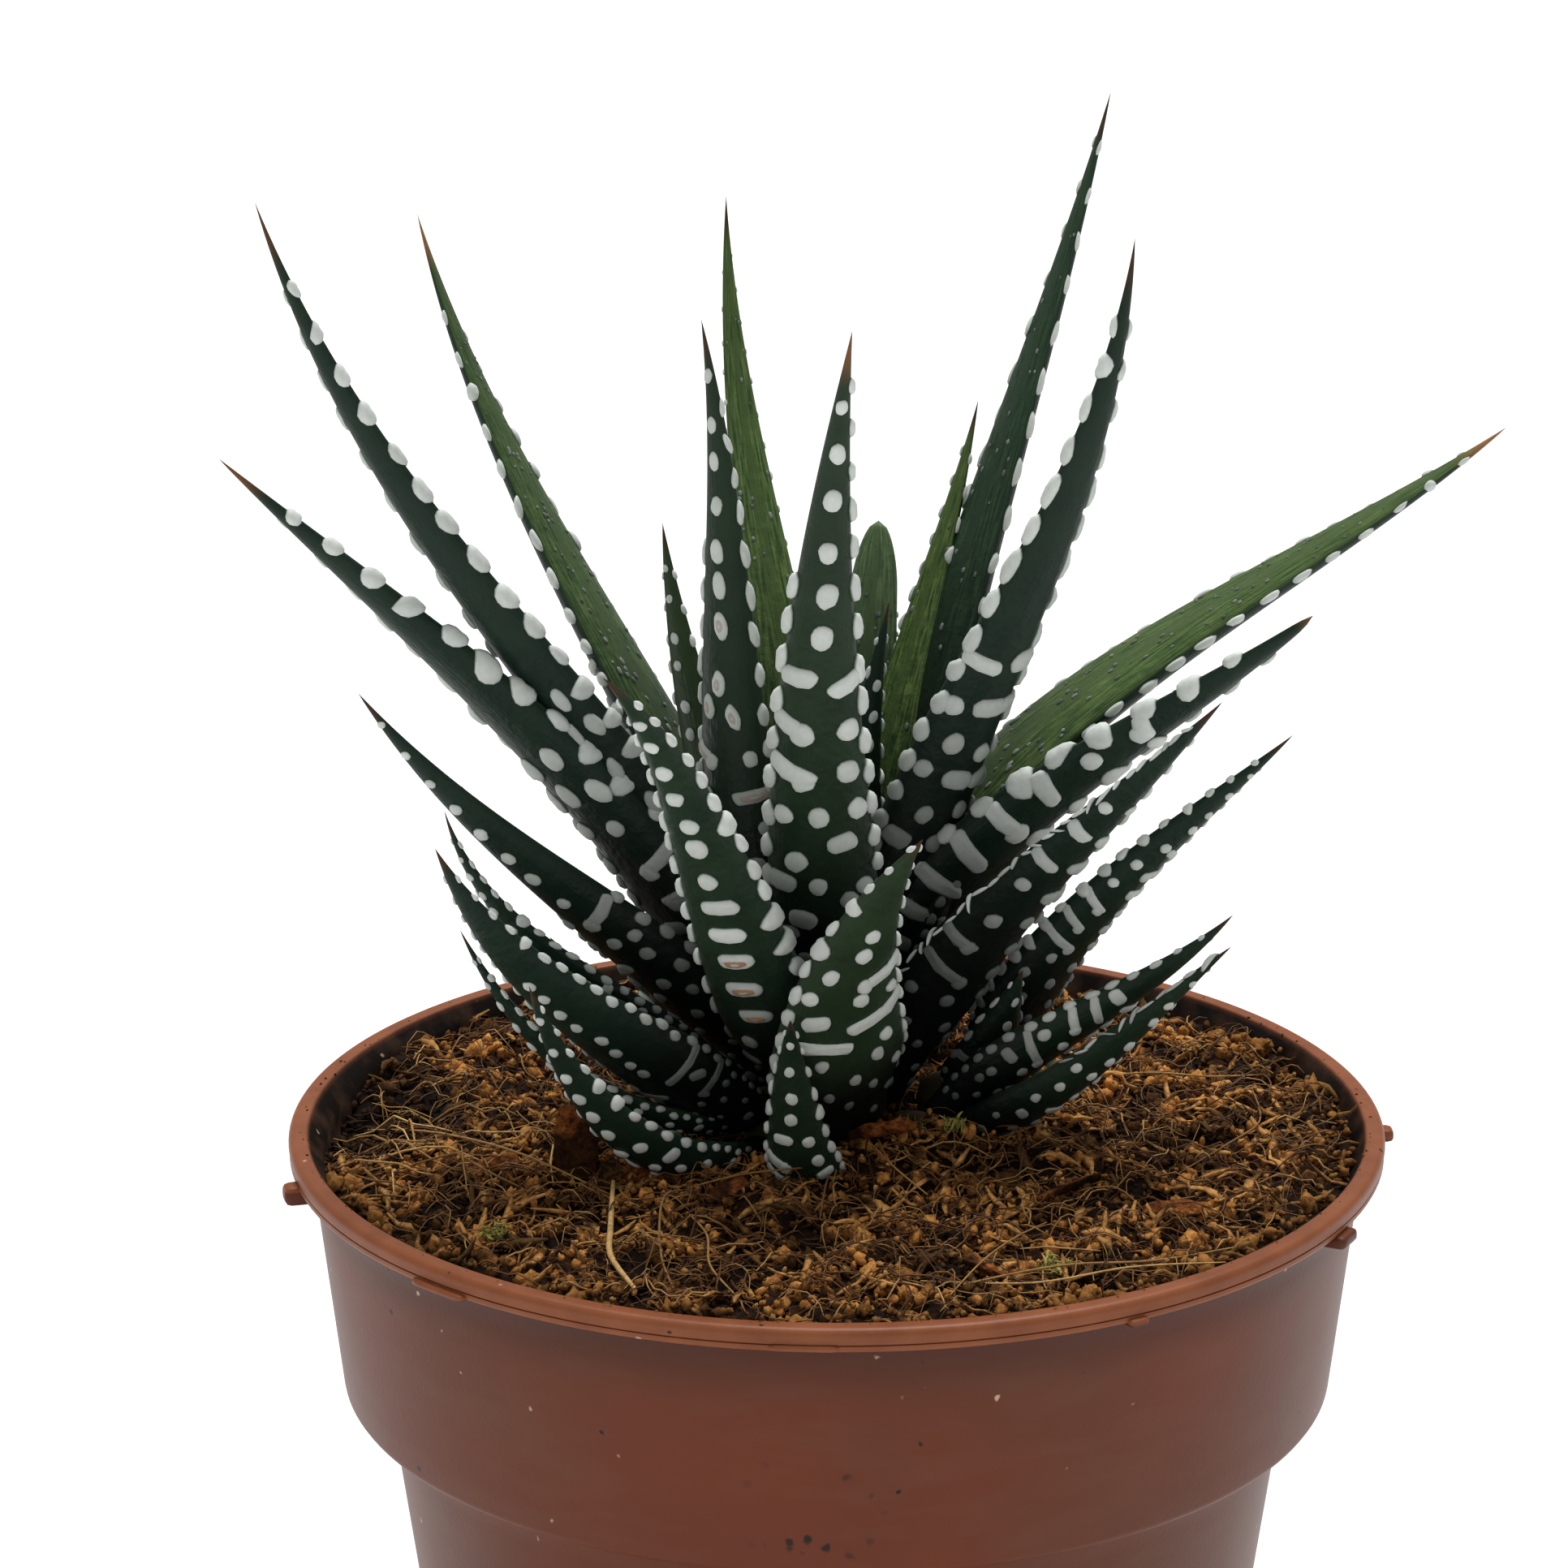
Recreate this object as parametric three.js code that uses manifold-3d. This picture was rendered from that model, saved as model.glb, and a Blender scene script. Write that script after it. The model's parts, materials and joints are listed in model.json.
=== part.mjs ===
// Potted haworthia: a clump of pointed, white-dotted succulent leaves in a small round nursery pot.
// Millimetres, +Z up. The origin is the centre of the pot's flat underside, and the side that the
// longest front leaves lean to faces -Y.

import * as THREE from 'three';
import { mergeVertices } from 'three/addons/utils/BufferGeometryUtils.js';
import Module from 'manifold-3d';

const wasm = await Module();
wasm.setup();

// ---- driving dimensions -------------------------------------------------------------------------

const GAP = 0.3; // clearance between two pieces that touch

// Pot: a rolled rim over a wide collar, which steps in to a tapered lower body.
const RIM_RADIUS = 42.5;
const RIM_HEIGHT = 64; // height of the rim's widest line
const RIM_TOP = 0.6; // how far the rolled rim rises over that line
const RIM_ROUND = 0.5; // rounding of the rim's top edge
const RIM_UNDER = 1.0; // how far the rim's lower lip hangs under the widest line
const LIP_INSET = 0.2; // how far the lower lip stays inside the widest line
const MOUTH_RADIUS = 40.9; // inner edge of the rim
const WALL = 0.9;
const COLLAR_TOP_RADIUS = 40.8;
const COLLAR_FOOT_RADIUS = 38.8;
const COLLAR_EDGE = 0.5; // bevel of the collar's lower edge
const STEP_HEIGHT = 44; // underside of the collar
const BODY_TOP_RADIUS = 35.5;
const BASE_RADIUS = 29.7;
const BASE_EDGE = 1; // bevel of the base's edge
const FLOOR = 1.4; // thickness of the pot's floor
const POT_SIDES = 48;

// Small moulding lugs under the rim. A lug's row holds its azimuth in degrees anticlockwise from +X,
// the height of its middle, its width, its thickness, and the radius of its outer face.
const LUGS = [
  [0, 63.1, 1.6, 1.0, 43.4],
  [33, 62.8, 3.6, 0.7, 42.9],
  [65, 62.9, 4.2, 0.6, 42.8],
  [98, 62.8, 3.2, 0.8, 43.1],
  [131, 62.9, 4.4, 0.6, 42.8],
  [163, 62.8, 3.0, 0.8, 43.2],
  [196, 62.5, 1.7, 1.5, 43.5],
  [228, 63.0, 5.4, 0.55, 42.9],
  [267, 63.2, 5.0, 0.5, 42.7],
  [300, 62.9, 1.6, 0.6, 42.9],
  [332, 62.4, 2.8, 1.0, 43.1],
];
const LUG_ROOT = 40.6; // radius inside the collar wall, where a lug joins it

const DRAIN_HOLES = 8;
const DRAIN_RADIUS = 2.5;
const DRAIN_RING = 19; // radius of the ring of holes
const DRAIN_SIDES = 12;

// Potting mix: a filling that ends a little under the rim and is a touch higher in the middle.
const SOIL_EDGE = 62.2; // height at the pot's wall
const SOIL_MIDDLE = 62.8;
const MOUND_TOP = 14; // radius of the level middle
const MOUND_SHOULDER = 30; // radius at which the mix has dropped halfway
const SOIL_SIDES = 40;

// The heights of leaves and stems below are measured from this level.
const GROUND = 62.5;

// Stems: short and fleshy, narrowed at the foot and domed at the crown.
const STEM_BURIED = 9; // how deep a stem stands under the ground level
const STEM_TAPER = 3; // length of the narrowed foot
const STEM_FOOT_SHARE = 0.6; // radius of the foot, as a part of the stem's
const CROWN_DOME = 0.6; // height of the domed crown, as a part of the stem's radius
const STEM_SIDES = 10;

// Leaf section and outline.
const RINGS = 8; // cross sections along a leaf, the two ends apart
const FIRST_RING = 0.25; // place of the first cross section, in steps from the root
const SECTION_POINTS = 8; // corners of a cross section
const BELLY = 0.22; // part of the length at which a leaf is widest
const ROOT_SHARE = 0.7; // width at the root, as a part of the full width
const TAPER_POWER = 1.25; // above 1 the leaf stays broad longer before it runs out to the tip
const THIN_POWER = 0.8; // below 1 the leaf thins more slowly than it narrows
const BACK_SHARE = 0.72; // part of the thickness that bulges to the outer face
const FACE_SHARE = 0.28; // part that bulges to the inner face
const HANDLE = 0.36; // length of the centre line's handles, as a part of the chord

// Each rosette stands on a stem at (x, y), and its crown is the height to which the stem rises.
// A leaf's row holds:
//   root     height at which it leaves the stem
//   azimuth  direction in which it grows, degrees anticlockwise from +X
//   rise     slope of its centre line at the root, degrees
//   reach    distance of its tip from the rosette's centre, level
//   top      height of its tip
//   ends     slope of its centre line at the tip, degrees
//   sway     sideways bow of its centre line
//   roll     turn about its own length, degrees
//   width    greatest width
//   depth    greatest thickness
// A number after those is the part of the length that is left on a leaf with a broken tip.
const ROSETTES = {
  main: {
    x: 0, y: 4, radius: 3.6, crown: 10,
    leaves: [
      // root, azimuth, rise, reach, top, ends, sway, roll, width, depth
      [2, 170, 45, 23, 14, 48, 0, 20, 6.5, 3],
      [2.5, -175, 50, 20, 19, 60, 0, 20, 6.5, 3],
      [3, 88, 50, 29, 17, 42, 0, 0, 7, 3.2],
      [3.5, -41, 63, 36.5, 41, 46, 0, -25, 8, 3.2],
      [4, -150, 51, 40, 40.5, 54, 0, 35, 7.4, 3],
      [4, 62, 58, 25, 22, 48, 0, 0, 7, 3.2],
      [4, 116, 58, 26, 21, 48, 0, 0, 7, 3.2],
      [5.5, 93, 66, 27, 36, 60, 0, 0, 7.5, 3.2],
      [5.5, 55, 64, 25, 36, 58, 0, 0, 7, 3.2],
      [5, -114, 36, 39.5, 46, 33, 0.5, 8, 8.4, 3.6],
      [5, -160, 66, 47.5, 57, 44, 0, 30, 9.4, 3.8],
      [5, -20, 92, 39, 46, 42, 0.5, -35, 9.5, 3.4, 0.96],
      [5.5, 136, 62, 24, 33, 62, 0, 0, 7, 3.2],
      [5.5, 22, 62, 23, 24, 52, 0, 0, 6.5, 3],
      [6, -6, 93, 50, 57, 39, 1.5, 17, 11.5, 4],
      [7, -156, 67, 45, 76, 72, 0, 30, 7.2, 3],
      [8, -88, 67, 30, 69, 66, -2.5, 0, 8.4, 3.4],
      [8, 154, 68, 36.5, 69.5, 73, 0, 5, 9, 3],
      [8, -37, 87, 26.5, 73, 84, 0, -20, 8, 3.2],
      [8, 37, 84, 26.5, 79, 72, 0, -5, 8, 3],
      [9, -135, 63, 14, 66, 74, -1, 10, 7.4, 3],
      [9, 112, 92, 23.5, 70, 87, 0.5, 0, 6.4, 2.6],
      [9, 48, 93, 16.5, 55.5, 76, 1, 0, 6, 2.6],
      [9.5, 73, 76, 18.4, 68.4, 74, 0.5, 0, 5.6, 2.4, 0.62],
      [9.5, 171, 72, 13.5, 48, 83, 0.5, 60, 6.8, 2.6],
      [10, -27, 104, 4.5, 43, 79, -0.5, -40, 5, 2.2],
    ],
  },
  front: {
    x: -0.5, y: -4.2, radius: 2.2, crown: 5,
    leaves: [
      [0.3, -102, 4, 13.8, 16.1, 46, -1, 5, 5.6, 2.6],
      [4.5, -80, 80, 4.6, 18, 86, 0, 0, 5, 2.2],
      [4, -68, 68, 18, 31, 49, -3, 5, 11, 3.8],
    ],
  },
  left: {
    x: -5, y: -2, radius: 2.2, crown: 5,
    leaves: [
      [1, -134, -2, 25, 19.5, 67, -0.5, 25, 5.6, 2.8],
      [3, -161, 0, 24.5, 20.5, 65, 0.5, 20, 4.2, 2],
      [3.5, -143, 40, 30, 30, 63, -0.5, 35, 8, 3.2],
      [4, -157, 55, 26, 30.5, 75, 0, 30, 4.6, 2],
    ],
  },
  right: {
    x: 6, y: -1, radius: 2.2, crown: 2.6,
    leaves: [
      [1.5, -19, 20, 25, 19, 42, 0, -35, 5.4, 2.4],
      [3, -12, 49, 24.5, 20.5, 46, 0, -40, 6, 2.8],
    ],
  },
  side: {
    x: 8.5, y: 4, radius: 2.2, crown: 4,
    leaves: [
      [2.5, -17, 74, 27, 34, 44, 0, -40, 6.6, 2.8],
      [3, -50, 62, 9, 15, 62, 0, -15, 6, 2.8],
    ],
  },
  back: {
    x: 3, y: 14, radius: 2.2, crown: 4,
    leaves: [
      [1.5, 35, 48, 14, 11, 50, 0, 0, 5, 2.4],
      [2, 100, 45, 16, 9, 35, 0, 0, 5, 2.4],
      [1.5, 155, 48, 13, 11, 50, 0, 0, 5, 2.4],
    ],
  },
};

// ---- materials ----------------------------------------------------------------------------------

const finish = (color, roughness) => new THREE.MeshStandardMaterial({ color, roughness, metalness: 0 });

const potPlastic = () => finish(0x8a4a38, 0.45);
const pottingMix = () => finish(0x5f3d1f, 1);
const stemFlesh = () => finish(0x4a5a34, 0.7);
const leafFlesh = () => finish(0x1f3f30, 0.5);

// ---- solids -------------------------------------------------------------------------------------

const WELD = 1e-4; // corners closer than this are one corner
const radians = THREE.MathUtils.degToRad;

function solid(geometry) {
  const bare = geometry.clone();
  bare.deleteAttribute('normal');
  bare.deleteAttribute('uv');
  const welded = mergeVertices(bare, WELD);
  return new wasm.Manifold(new wasm.Mesh({
    numProp: 3,
    vertProperties: new Float32Array(welded.attributes.position.array),
    triVerts: new Uint32Array(welded.index.array),
  }));
}

function surface(manifold) {
  const mesh = manifold.getMesh();
  const geometry = new THREE.BufferGeometry();
  geometry.setAttribute('position', new THREE.BufferAttribute(new Float32Array(mesh.vertProperties), 3));
  geometry.setIndex(new THREE.BufferAttribute(new Uint32Array(mesh.triVerts), 1));
  geometry.computeVertexNormals();
  return geometry;
}

// What is left of a solid once its neighbours' beds are cut from it, without loose slivers.
function pressed(manifold, beds) {
  const cut = beds.reduce((rest, bed) => rest.subtract(bed), manifold);
  return cut.decompose().reduce((best, piece) => (piece.volume() > best.volume() ? piece : best));
}

// A solid of revolution about +Z from [radius, height] pairs.
function turned(profile, sides) {
  const points = profile.map(([radius, height]) => new THREE.Vector2(radius, height));
  return new THREE.LatheGeometry(points, sides).rotateX(Math.PI / 2);
}

function part(name, manifold, material) {
  const mesh = new THREE.Mesh(surface(manifold), material);
  mesh.name = name;
  return mesh;
}

// ---- pot ----------------------------------------------------------------------------------------

const LIP_HEIGHT = RIM_HEIGHT - RIM_UNDER;

// The collar's outer radius at a height.
function collarRadius(height) {
  return THREE.MathUtils.mapLinear(height, STEP_HEIGHT, LIP_HEIGHT, COLLAR_FOOT_RADIUS, COLLAR_TOP_RADIUS);
}

function potProfile() {
  const outside = [
    [0, 0],
    [BASE_RADIUS - BASE_EDGE, 0],
    [BASE_RADIUS, BASE_EDGE],
    [BODY_TOP_RADIUS, STEP_HEIGHT],
    [COLLAR_FOOT_RADIUS - COLLAR_EDGE, STEP_HEIGHT],
    [COLLAR_FOOT_RADIUS, STEP_HEIGHT + COLLAR_EDGE],
    [COLLAR_TOP_RADIUS, LIP_HEIGHT],
    [RIM_RADIUS - LIP_INSET, LIP_HEIGHT],
    [RIM_RADIUS, RIM_HEIGHT],
    [RIM_RADIUS - RIM_ROUND, RIM_HEIGHT + RIM_TOP],
  ];
  const inside = [
    [MOUTH_RADIUS, RIM_HEIGHT + RIM_TOP],
    [COLLAR_TOP_RADIUS - WALL, LIP_HEIGHT],
    [COLLAR_FOOT_RADIUS - WALL, STEP_HEIGHT + WALL],
    [BODY_TOP_RADIUS - WALL, STEP_HEIGHT + WALL],
    [BASE_RADIUS - WALL, FLOOR],
    [0, FLOOR],
  ];
  return [...outside, ...inside];
}

function makePot() {
  let pot = solid(turned(potProfile(), POT_SIDES));
  for (const [azimuth, height, width, thick, reach] of LUGS) {
    const lug = new THREE.BoxGeometry(reach - LUG_ROOT, width, thick);
    lug.translate((reach + LUG_ROOT) / 2, 0, height);
    lug.rotateZ(radians(azimuth));
    pot = pot.add(solid(lug));
  }
  const drillLength = 3 * FLOOR;
  for (let i = 0; i < DRAIN_HOLES; i += 1) {
    const drill = new THREE.CylinderGeometry(DRAIN_RADIUS, DRAIN_RADIUS, drillLength, DRAIN_SIDES);
    drill.rotateX(Math.PI / 2);
    const angle = ((i + 0.5) / DRAIN_HOLES) * 2 * Math.PI;
    drill.translate(DRAIN_RING * Math.cos(angle), DRAIN_RING * Math.sin(angle), 0);
    pot = pot.subtract(solid(drill));
  }
  return pot;
}

// ---- potting mix --------------------------------------------------------------------------------

// The filling follows the inside of the pot, a gap away from its wall and floor.
function makeMix() {
  const wall = WALL + GAP;
  return solid(turned([
    [0, FLOOR + GAP],
    [BASE_RADIUS - wall, FLOOR + GAP],
    [BODY_TOP_RADIUS - wall, STEP_HEIGHT + wall],
    [COLLAR_FOOT_RADIUS - wall, STEP_HEIGHT + wall],
    [collarRadius(SOIL_EDGE) - wall, SOIL_EDGE],
    [MOUND_SHOULDER, (SOIL_EDGE + SOIL_MIDDLE) / 2],
    [MOUND_TOP, SOIL_MIDDLE],
    [0, SOIL_MIDDLE],
  ], SOIL_SIDES));
}

// ---- stems --------------------------------------------------------------------------------------

// A margin swells the stem evenly, to cut a bed for it in its neighbours.
function makeStem({ x, y, radius, crown }, margin = 0) {
  const wide = radius + margin;
  const foot = GROUND - STEM_BURIED - margin;
  const top = GROUND + crown + margin;
  const profile = [
    [0, foot],
    [wide * STEM_FOOT_SHARE, foot],
    [wide, foot + STEM_TAPER],
  ];
  for (const angle of [0, 45]) {
    const drop = radius * CROWN_DOME * (1 - Math.sin(radians(angle)));
    profile.push([wide * Math.cos(radians(angle)), top - drop]);
  }
  profile.push([0, top]);
  return solid(turned(profile, STEM_SIDES).translate(x, y, 0));
}

// ---- leaves -------------------------------------------------------------------------------------

function readLeaf([root, azimuth, rise, reach, top, ends, sway, roll, width, depth, kept = 1]) {
  return { root, azimuth, rise, reach, top, ends, sway, roll, width, depth, kept };
}

// The direction that rises at a slope, in degrees, along a level direction.
function sloped(outward, slope) {
  const level = outward.clone().multiplyScalar(Math.cos(radians(slope)));
  return level.setZ(Math.sin(radians(slope)));
}

// The centre line from the stem to the tip, and the level direction square to the leaf's azimuth.
function centreLine(rosette, leaf) {
  const azimuth = radians(leaf.azimuth);
  const outward = new THREE.Vector3(Math.cos(azimuth), Math.sin(azimuth), 0);
  const sideways = new THREE.Vector3(-outward.y, outward.x, 0);
  const centre = new THREE.Vector3(rosette.x, rosette.y, 0);
  const start = centre.clone().addScaledVector(outward, rosette.radius).setZ(GROUND + leaf.root);
  const tip = centre.clone().addScaledVector(outward, leaf.reach).setZ(GROUND + leaf.top);
  const handle = HANDLE * start.distanceTo(tip);
  const bow = sideways.clone().multiplyScalar(leaf.sway);
  const leave = start.clone().addScaledVector(sloped(outward, leaf.rise), handle).add(bow);
  const arrive = tip.clone().addScaledVector(sloped(outward, leaf.ends), -handle).add(bow);
  return { curve: new THREE.CubicBezierCurve3(start, leave, arrive, tip), sideways };
}

// The width of a leaf at a part of its length, as a part of its greatest width.
function outline(along) {
  const swell = THREE.MathUtils.smoothstep(along, 0, BELLY);
  const fade = Math.max(0, (along - BELLY) / (1 - BELLY));
  return (ROOT_SHARE + (1 - ROOT_SHARE) * swell) * (1 - fade ** TAPER_POWER);
}

// The corners of one cross section: a rounded outer face and a flatter inner face.
function section({ curve, sideways }, leaf, along, margin) {
  const middle = curve.getPoint(along);
  const tangent = curve.getTangent(along);
  const inward = new THREE.Vector3().crossVectors(tangent, sideways).normalize();
  const across = new THREE.Vector3().crossVectors(inward, tangent);
  inward.applyAxisAngle(tangent, radians(leaf.roll));
  across.applyAxisAngle(tangent, radians(leaf.roll));
  const share = outline(along);
  const halfWidth = (leaf.width / 2) * share + margin;
  const thickness = leaf.depth * share ** THIN_POWER;
  return Array.from({ length: SECTION_POINTS }, (_, i) => {
    const angle = (i / SECTION_POINTS) * 2 * Math.PI;
    const bulge = thickness * (Math.cos(angle) > 0 ? BACK_SHARE : FACE_SHARE) + margin;
    const corner = middle.clone().addScaledVector(across, halfWidth * Math.sin(angle));
    return corner.addScaledVector(inward, -bulge * Math.cos(angle));
  });
}

// One closed skin through the cross sections, with a point at each end.
function skin(root, sections, tip) {
  const corners = [root, ...sections.flat(), tip];
  const corner = (ring, i) => 1 + ring * SECTION_POINTS + (i % SECTION_POINTS);
  const last = sections.length - 1;
  const faces = [];
  for (let i = 0; i < SECTION_POINTS; i += 1) {
    faces.push(0, corner(0, i + 1), corner(0, i));
    for (let ring = 0; ring < last; ring += 1) {
      faces.push(corner(ring, i), corner(ring, i + 1), corner(ring + 1, i + 1));
      faces.push(corner(ring, i), corner(ring + 1, i + 1), corner(ring + 1, i));
    }
    faces.push(corner(last, i), corner(last, i + 1), corners.length - 1);
  }
  const geometry = new THREE.BufferGeometry().setFromPoints(corners);
  geometry.setIndex(faces);
  return solid(geometry);
}

// A margin swells the leaf evenly, to cut a bed for it in its neighbours.
function makeLeaf(rosette, leaf, margin = 0) {
  const line = centreLine(rosette, leaf);
  const sections = [];
  for (let ring = 0; ring < RINGS; ring += 1) {
    const along = (leaf.kept * (ring + FIRST_RING)) / RINGS;
    sections.push(section(line, leaf, along, margin));
  }
  const root = line.curve.getPoint(0).addScaledVector(line.curve.getTangent(0), -margin);
  const tip = line.curve.getPoint(leaf.kept).addScaledVector(line.curve.getTangent(leaf.kept), margin);
  return skin(root, sections, tip);
}

// ---- assembly -----------------------------------------------------------------------------------

const model = new THREE.Group();
const beds = []; // every stem and leaf made so far, swollen by the gap

for (const [place, rosette] of Object.entries(ROSETTES)) {
  model.add(part(`${place}_stem`, pressed(makeStem(rosette), beds), stemFlesh()));
  beds.push(makeStem(rosette, GAP));
}

for (const [place, rosette] of Object.entries(ROSETTES)) {
  rosette.leaves.map(readLeaf).forEach((leaf, i) => {
    const name = `${place}_leaf_${String(i + 1).padStart(2, '0')}`;
    model.add(part(name, pressed(makeLeaf(rosette, leaf), beds), leafFlesh()));
    beds.push(makeLeaf(rosette, leaf, GAP));
  });
}

model.add(part('potting_mix', pressed(makeMix(), beds), pottingMix()));
model.add(part('pot', makePot(), potPlastic()));

export default model;
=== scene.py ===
"""A potted haworthia: a clump of pointed leaves with raised white dots, in potting mix, in a brick-brown
nursery pot. Metres, +Z up, with the origin at the centre of the pot's flat underside.
"""

import json
import math
import random

import bmesh
import bpy
from mathutils import Matrix, Vector, noise

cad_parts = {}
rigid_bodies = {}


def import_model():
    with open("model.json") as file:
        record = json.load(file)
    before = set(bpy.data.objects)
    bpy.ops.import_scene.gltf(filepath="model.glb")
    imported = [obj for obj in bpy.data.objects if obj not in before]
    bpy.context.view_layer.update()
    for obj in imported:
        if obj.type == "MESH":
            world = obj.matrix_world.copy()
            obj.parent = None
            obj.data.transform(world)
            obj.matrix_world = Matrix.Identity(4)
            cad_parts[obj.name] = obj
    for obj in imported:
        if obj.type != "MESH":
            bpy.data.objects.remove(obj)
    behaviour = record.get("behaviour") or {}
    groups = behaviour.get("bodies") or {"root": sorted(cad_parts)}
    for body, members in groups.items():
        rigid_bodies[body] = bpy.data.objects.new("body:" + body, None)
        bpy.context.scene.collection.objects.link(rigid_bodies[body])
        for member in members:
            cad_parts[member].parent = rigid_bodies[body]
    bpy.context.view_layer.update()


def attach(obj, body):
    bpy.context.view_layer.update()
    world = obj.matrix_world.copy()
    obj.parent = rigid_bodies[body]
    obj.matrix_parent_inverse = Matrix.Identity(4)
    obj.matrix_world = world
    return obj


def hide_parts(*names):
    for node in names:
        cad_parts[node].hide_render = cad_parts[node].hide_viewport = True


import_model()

MM = 0.001


# ---- The view ------------------------------------------------------------------------------------
# The pot stands on a plain pale floor, under soft light from above and a little behind. The camera
# looks down at it from the front, at the angle that the pot's rim shows.

CAMERA_PLACE = (0, -335.72, 190.40)  # mm
CAMERA_TILT = 0.28666  # radians below level
CAMERA_YAW = -0.01194
CAMERA_ROLL = -0.00213
PICTURE_WIDTH = 1932  # pixels
FOCAL_PIXELS = 5651.22
SENSOR_MM = 36
FLOOR_REACH = 6  # metres


def paint(red, green, blue):
    """A colour as a shader holds it, from its everyday 0 to 255 values."""
    shares = [value / 255 for value in (red, green, blue)]
    return (*[s / 12.92 if s <= 0.04045 else ((s + 0.055) / 1.055) ** 2.4 for s in shares], 1)


def new_material(name, roughness, specular):
    """A material and its main shader, with the values that are the same all over."""
    material = bpy.data.materials.new(name)
    material.use_nodes = True
    shader = material.node_tree.nodes["Principled BSDF"]
    shader.inputs["Roughness"].default_value = roughness
    shader.inputs["Specular IOR Level"].default_value = specular
    return material, shader


def new_mesh(name, corners, faces=()):
    """A mesh of corners and the faces between them."""
    mesh = bpy.data.meshes.new(name)
    mesh.from_pydata(corners, [], faces)
    return mesh


def add_piece(name, data):
    """Puts a mesh, a curve, a light or the camera in the scene."""
    piece = bpy.data.objects.new(name, data)
    bpy.context.scene.collection.objects.link(piece)
    return piece


camera = add_piece("camera", bpy.data.cameras.new("camera"))
camera.data.sensor_width = SENSOR_MM
camera.data.lens = FOCAL_PIXELS / PICTURE_WIDTH * SENSOR_MM
camera.data.clip_start = 0.01
camera.matrix_world = (
    Matrix.Translation(Vector(CAMERA_PLACE) * MM) @ Matrix.Rotation(-CAMERA_YAW, 4, "Z")
    @ Matrix.Rotation(math.pi / 2 - CAMERA_TILT, 4, "X") @ Matrix.Rotation(CAMERA_ROLL, 4, "Z")
)
bpy.context.scene.camera = camera
bpy.context.scene.view_settings.view_transform = "Standard"

# Lights: (name, height and heading in degrees, strength, spread in degrees).
for name, height, heading, strength, spread in (
    ("top_light", 72, 165, 3.3, 34), ("front_light", 35, -20, 0.35, 80),
):
    light = bpy.data.lights.new(name, "SUN")
    light.energy = strength
    light.angle = math.radians(spread)
    add_piece(name, light).rotation_euler = (math.radians(90 - height), 0, math.radians(heading))

world = bpy.data.worlds.new("studio")
world.use_nodes = True
bpy.context.scene.world = world
world.node_tree.nodes["Background"].inputs["Color"].default_value = (0.98, 0.98, 0.97, 1)
world.node_tree.nodes["Background"].inputs["Strength"].default_value = 0.34

floor_corners = [(x * FLOOR_REACH, y * FLOOR_REACH, 0) for x, y in ((-1, -1), (1, -1), (1, 1), (-1, 1))]
floor_piece = add_piece("floor", new_mesh("floor", floor_corners, [(0, 1, 2, 3)]))
floor_finish, floor_shader = new_material("pale_floor", roughness=0.9, specular=0.2)
floor_shader.inputs["Base Color"].default_value = (0.93, 0.93, 0.93, 1)
floor_piece.data.materials.append(floor_finish)


# ---- The pot -------------------------------------------------------------------------------------
# One thin moulded shell of matte brick-brown plastic: a rolled rim with a fine groove and lip under
# it, a wide collar that steps in to a tapered lower body, and a flat floor with drain holes.

RIM_RADIUS = 42.5 * MM
RIM_HEIGHT = 64 * MM  # height of the rim's widest line
RIM_TOP = 0.6 * MM
RIM_BEAD = 0.55 * MM  # radius of the rolled edge
MOUTH_RADIUS = 40.9 * MM
GROOVE_HEIGHT = 63.4 * MM
GROOVE_DEPTH = 0.2 * MM
LIP_HEIGHT = 62.85 * MM
WALL = 0.9 * MM
COLLAR_TOP_RADIUS = 40.8 * MM
COLLAR_FOOT_RADIUS = 38.8 * MM
STEP_HEIGHT = 44 * MM
BODY_TOP_RADIUS = 35.5 * MM
BASE_RADIUS = 29.7 * MM
POT_FLOOR = 1.4 * MM
EDGE_ROUND = 0.7 * MM
POT_SIDES = 176
COLLAR_SHADE_FOOT = 57 * MM  # from here up to the lip the collar is painted a little darker: painted shade under the rim
PIT_PATCH = Vector((-1.5, -39, 49)) * MM  # middle of a patch of dark pits

LUG_ROOT = 40.6  # mm from the pot's axis, where a lug leaves the wall
# Lugs: (azimuth in degrees, height, width, thickness, reach from the axis) in mm.
LUGS = (
    (0, 63.1, 1.6, 1.0, 43.4), (33, 62.8, 3.6, 0.7, 42.9), (65, 62.9, 4.2, 0.6, 42.8),
    (98, 62.8, 3.2, 0.8, 43.1), (131, 62.9, 4.4, 0.6, 42.8), (163, 62.8, 3.0, 0.8, 43.2),
    (196, 62.5, 1.7, 1.5, 43.5), (228, 63.0, 5.4, 0.55, 42.9), (267, 63.2, 5.0, 0.5, 42.7),
    (300, 62.9, 1.6, 0.6, 42.9), (332, 62.4, 2.8, 1.0, 43.1),
)

DRAIN_HOLES = 8
DRAIN_RADIUS = 2.5 * MM
DRAIN_RING = 19 * MM
DRAIN_SIDES = 24
SHARP_EDGE = 50  # degrees between two faces


def arc(radius, height, bend, start, end, steps):
    """Points of a round edge about (radius, height), between two angles in degrees."""
    angles = [math.radians(start + (end - start) * step / steps) for step in range(steps + 1)]
    return [(radius + bend * math.cos(angle), height + bend * math.sin(angle)) for angle in angles]


def along_wall(start, end, steps):
    """Points between two points of a profile, both left out."""
    return [
        (start[0] + (end[0] - start[0]) * step / steps, start[1] + (end[1] - start[1]) * step / steps)
        for step in range(1, steps)
    ]


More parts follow.
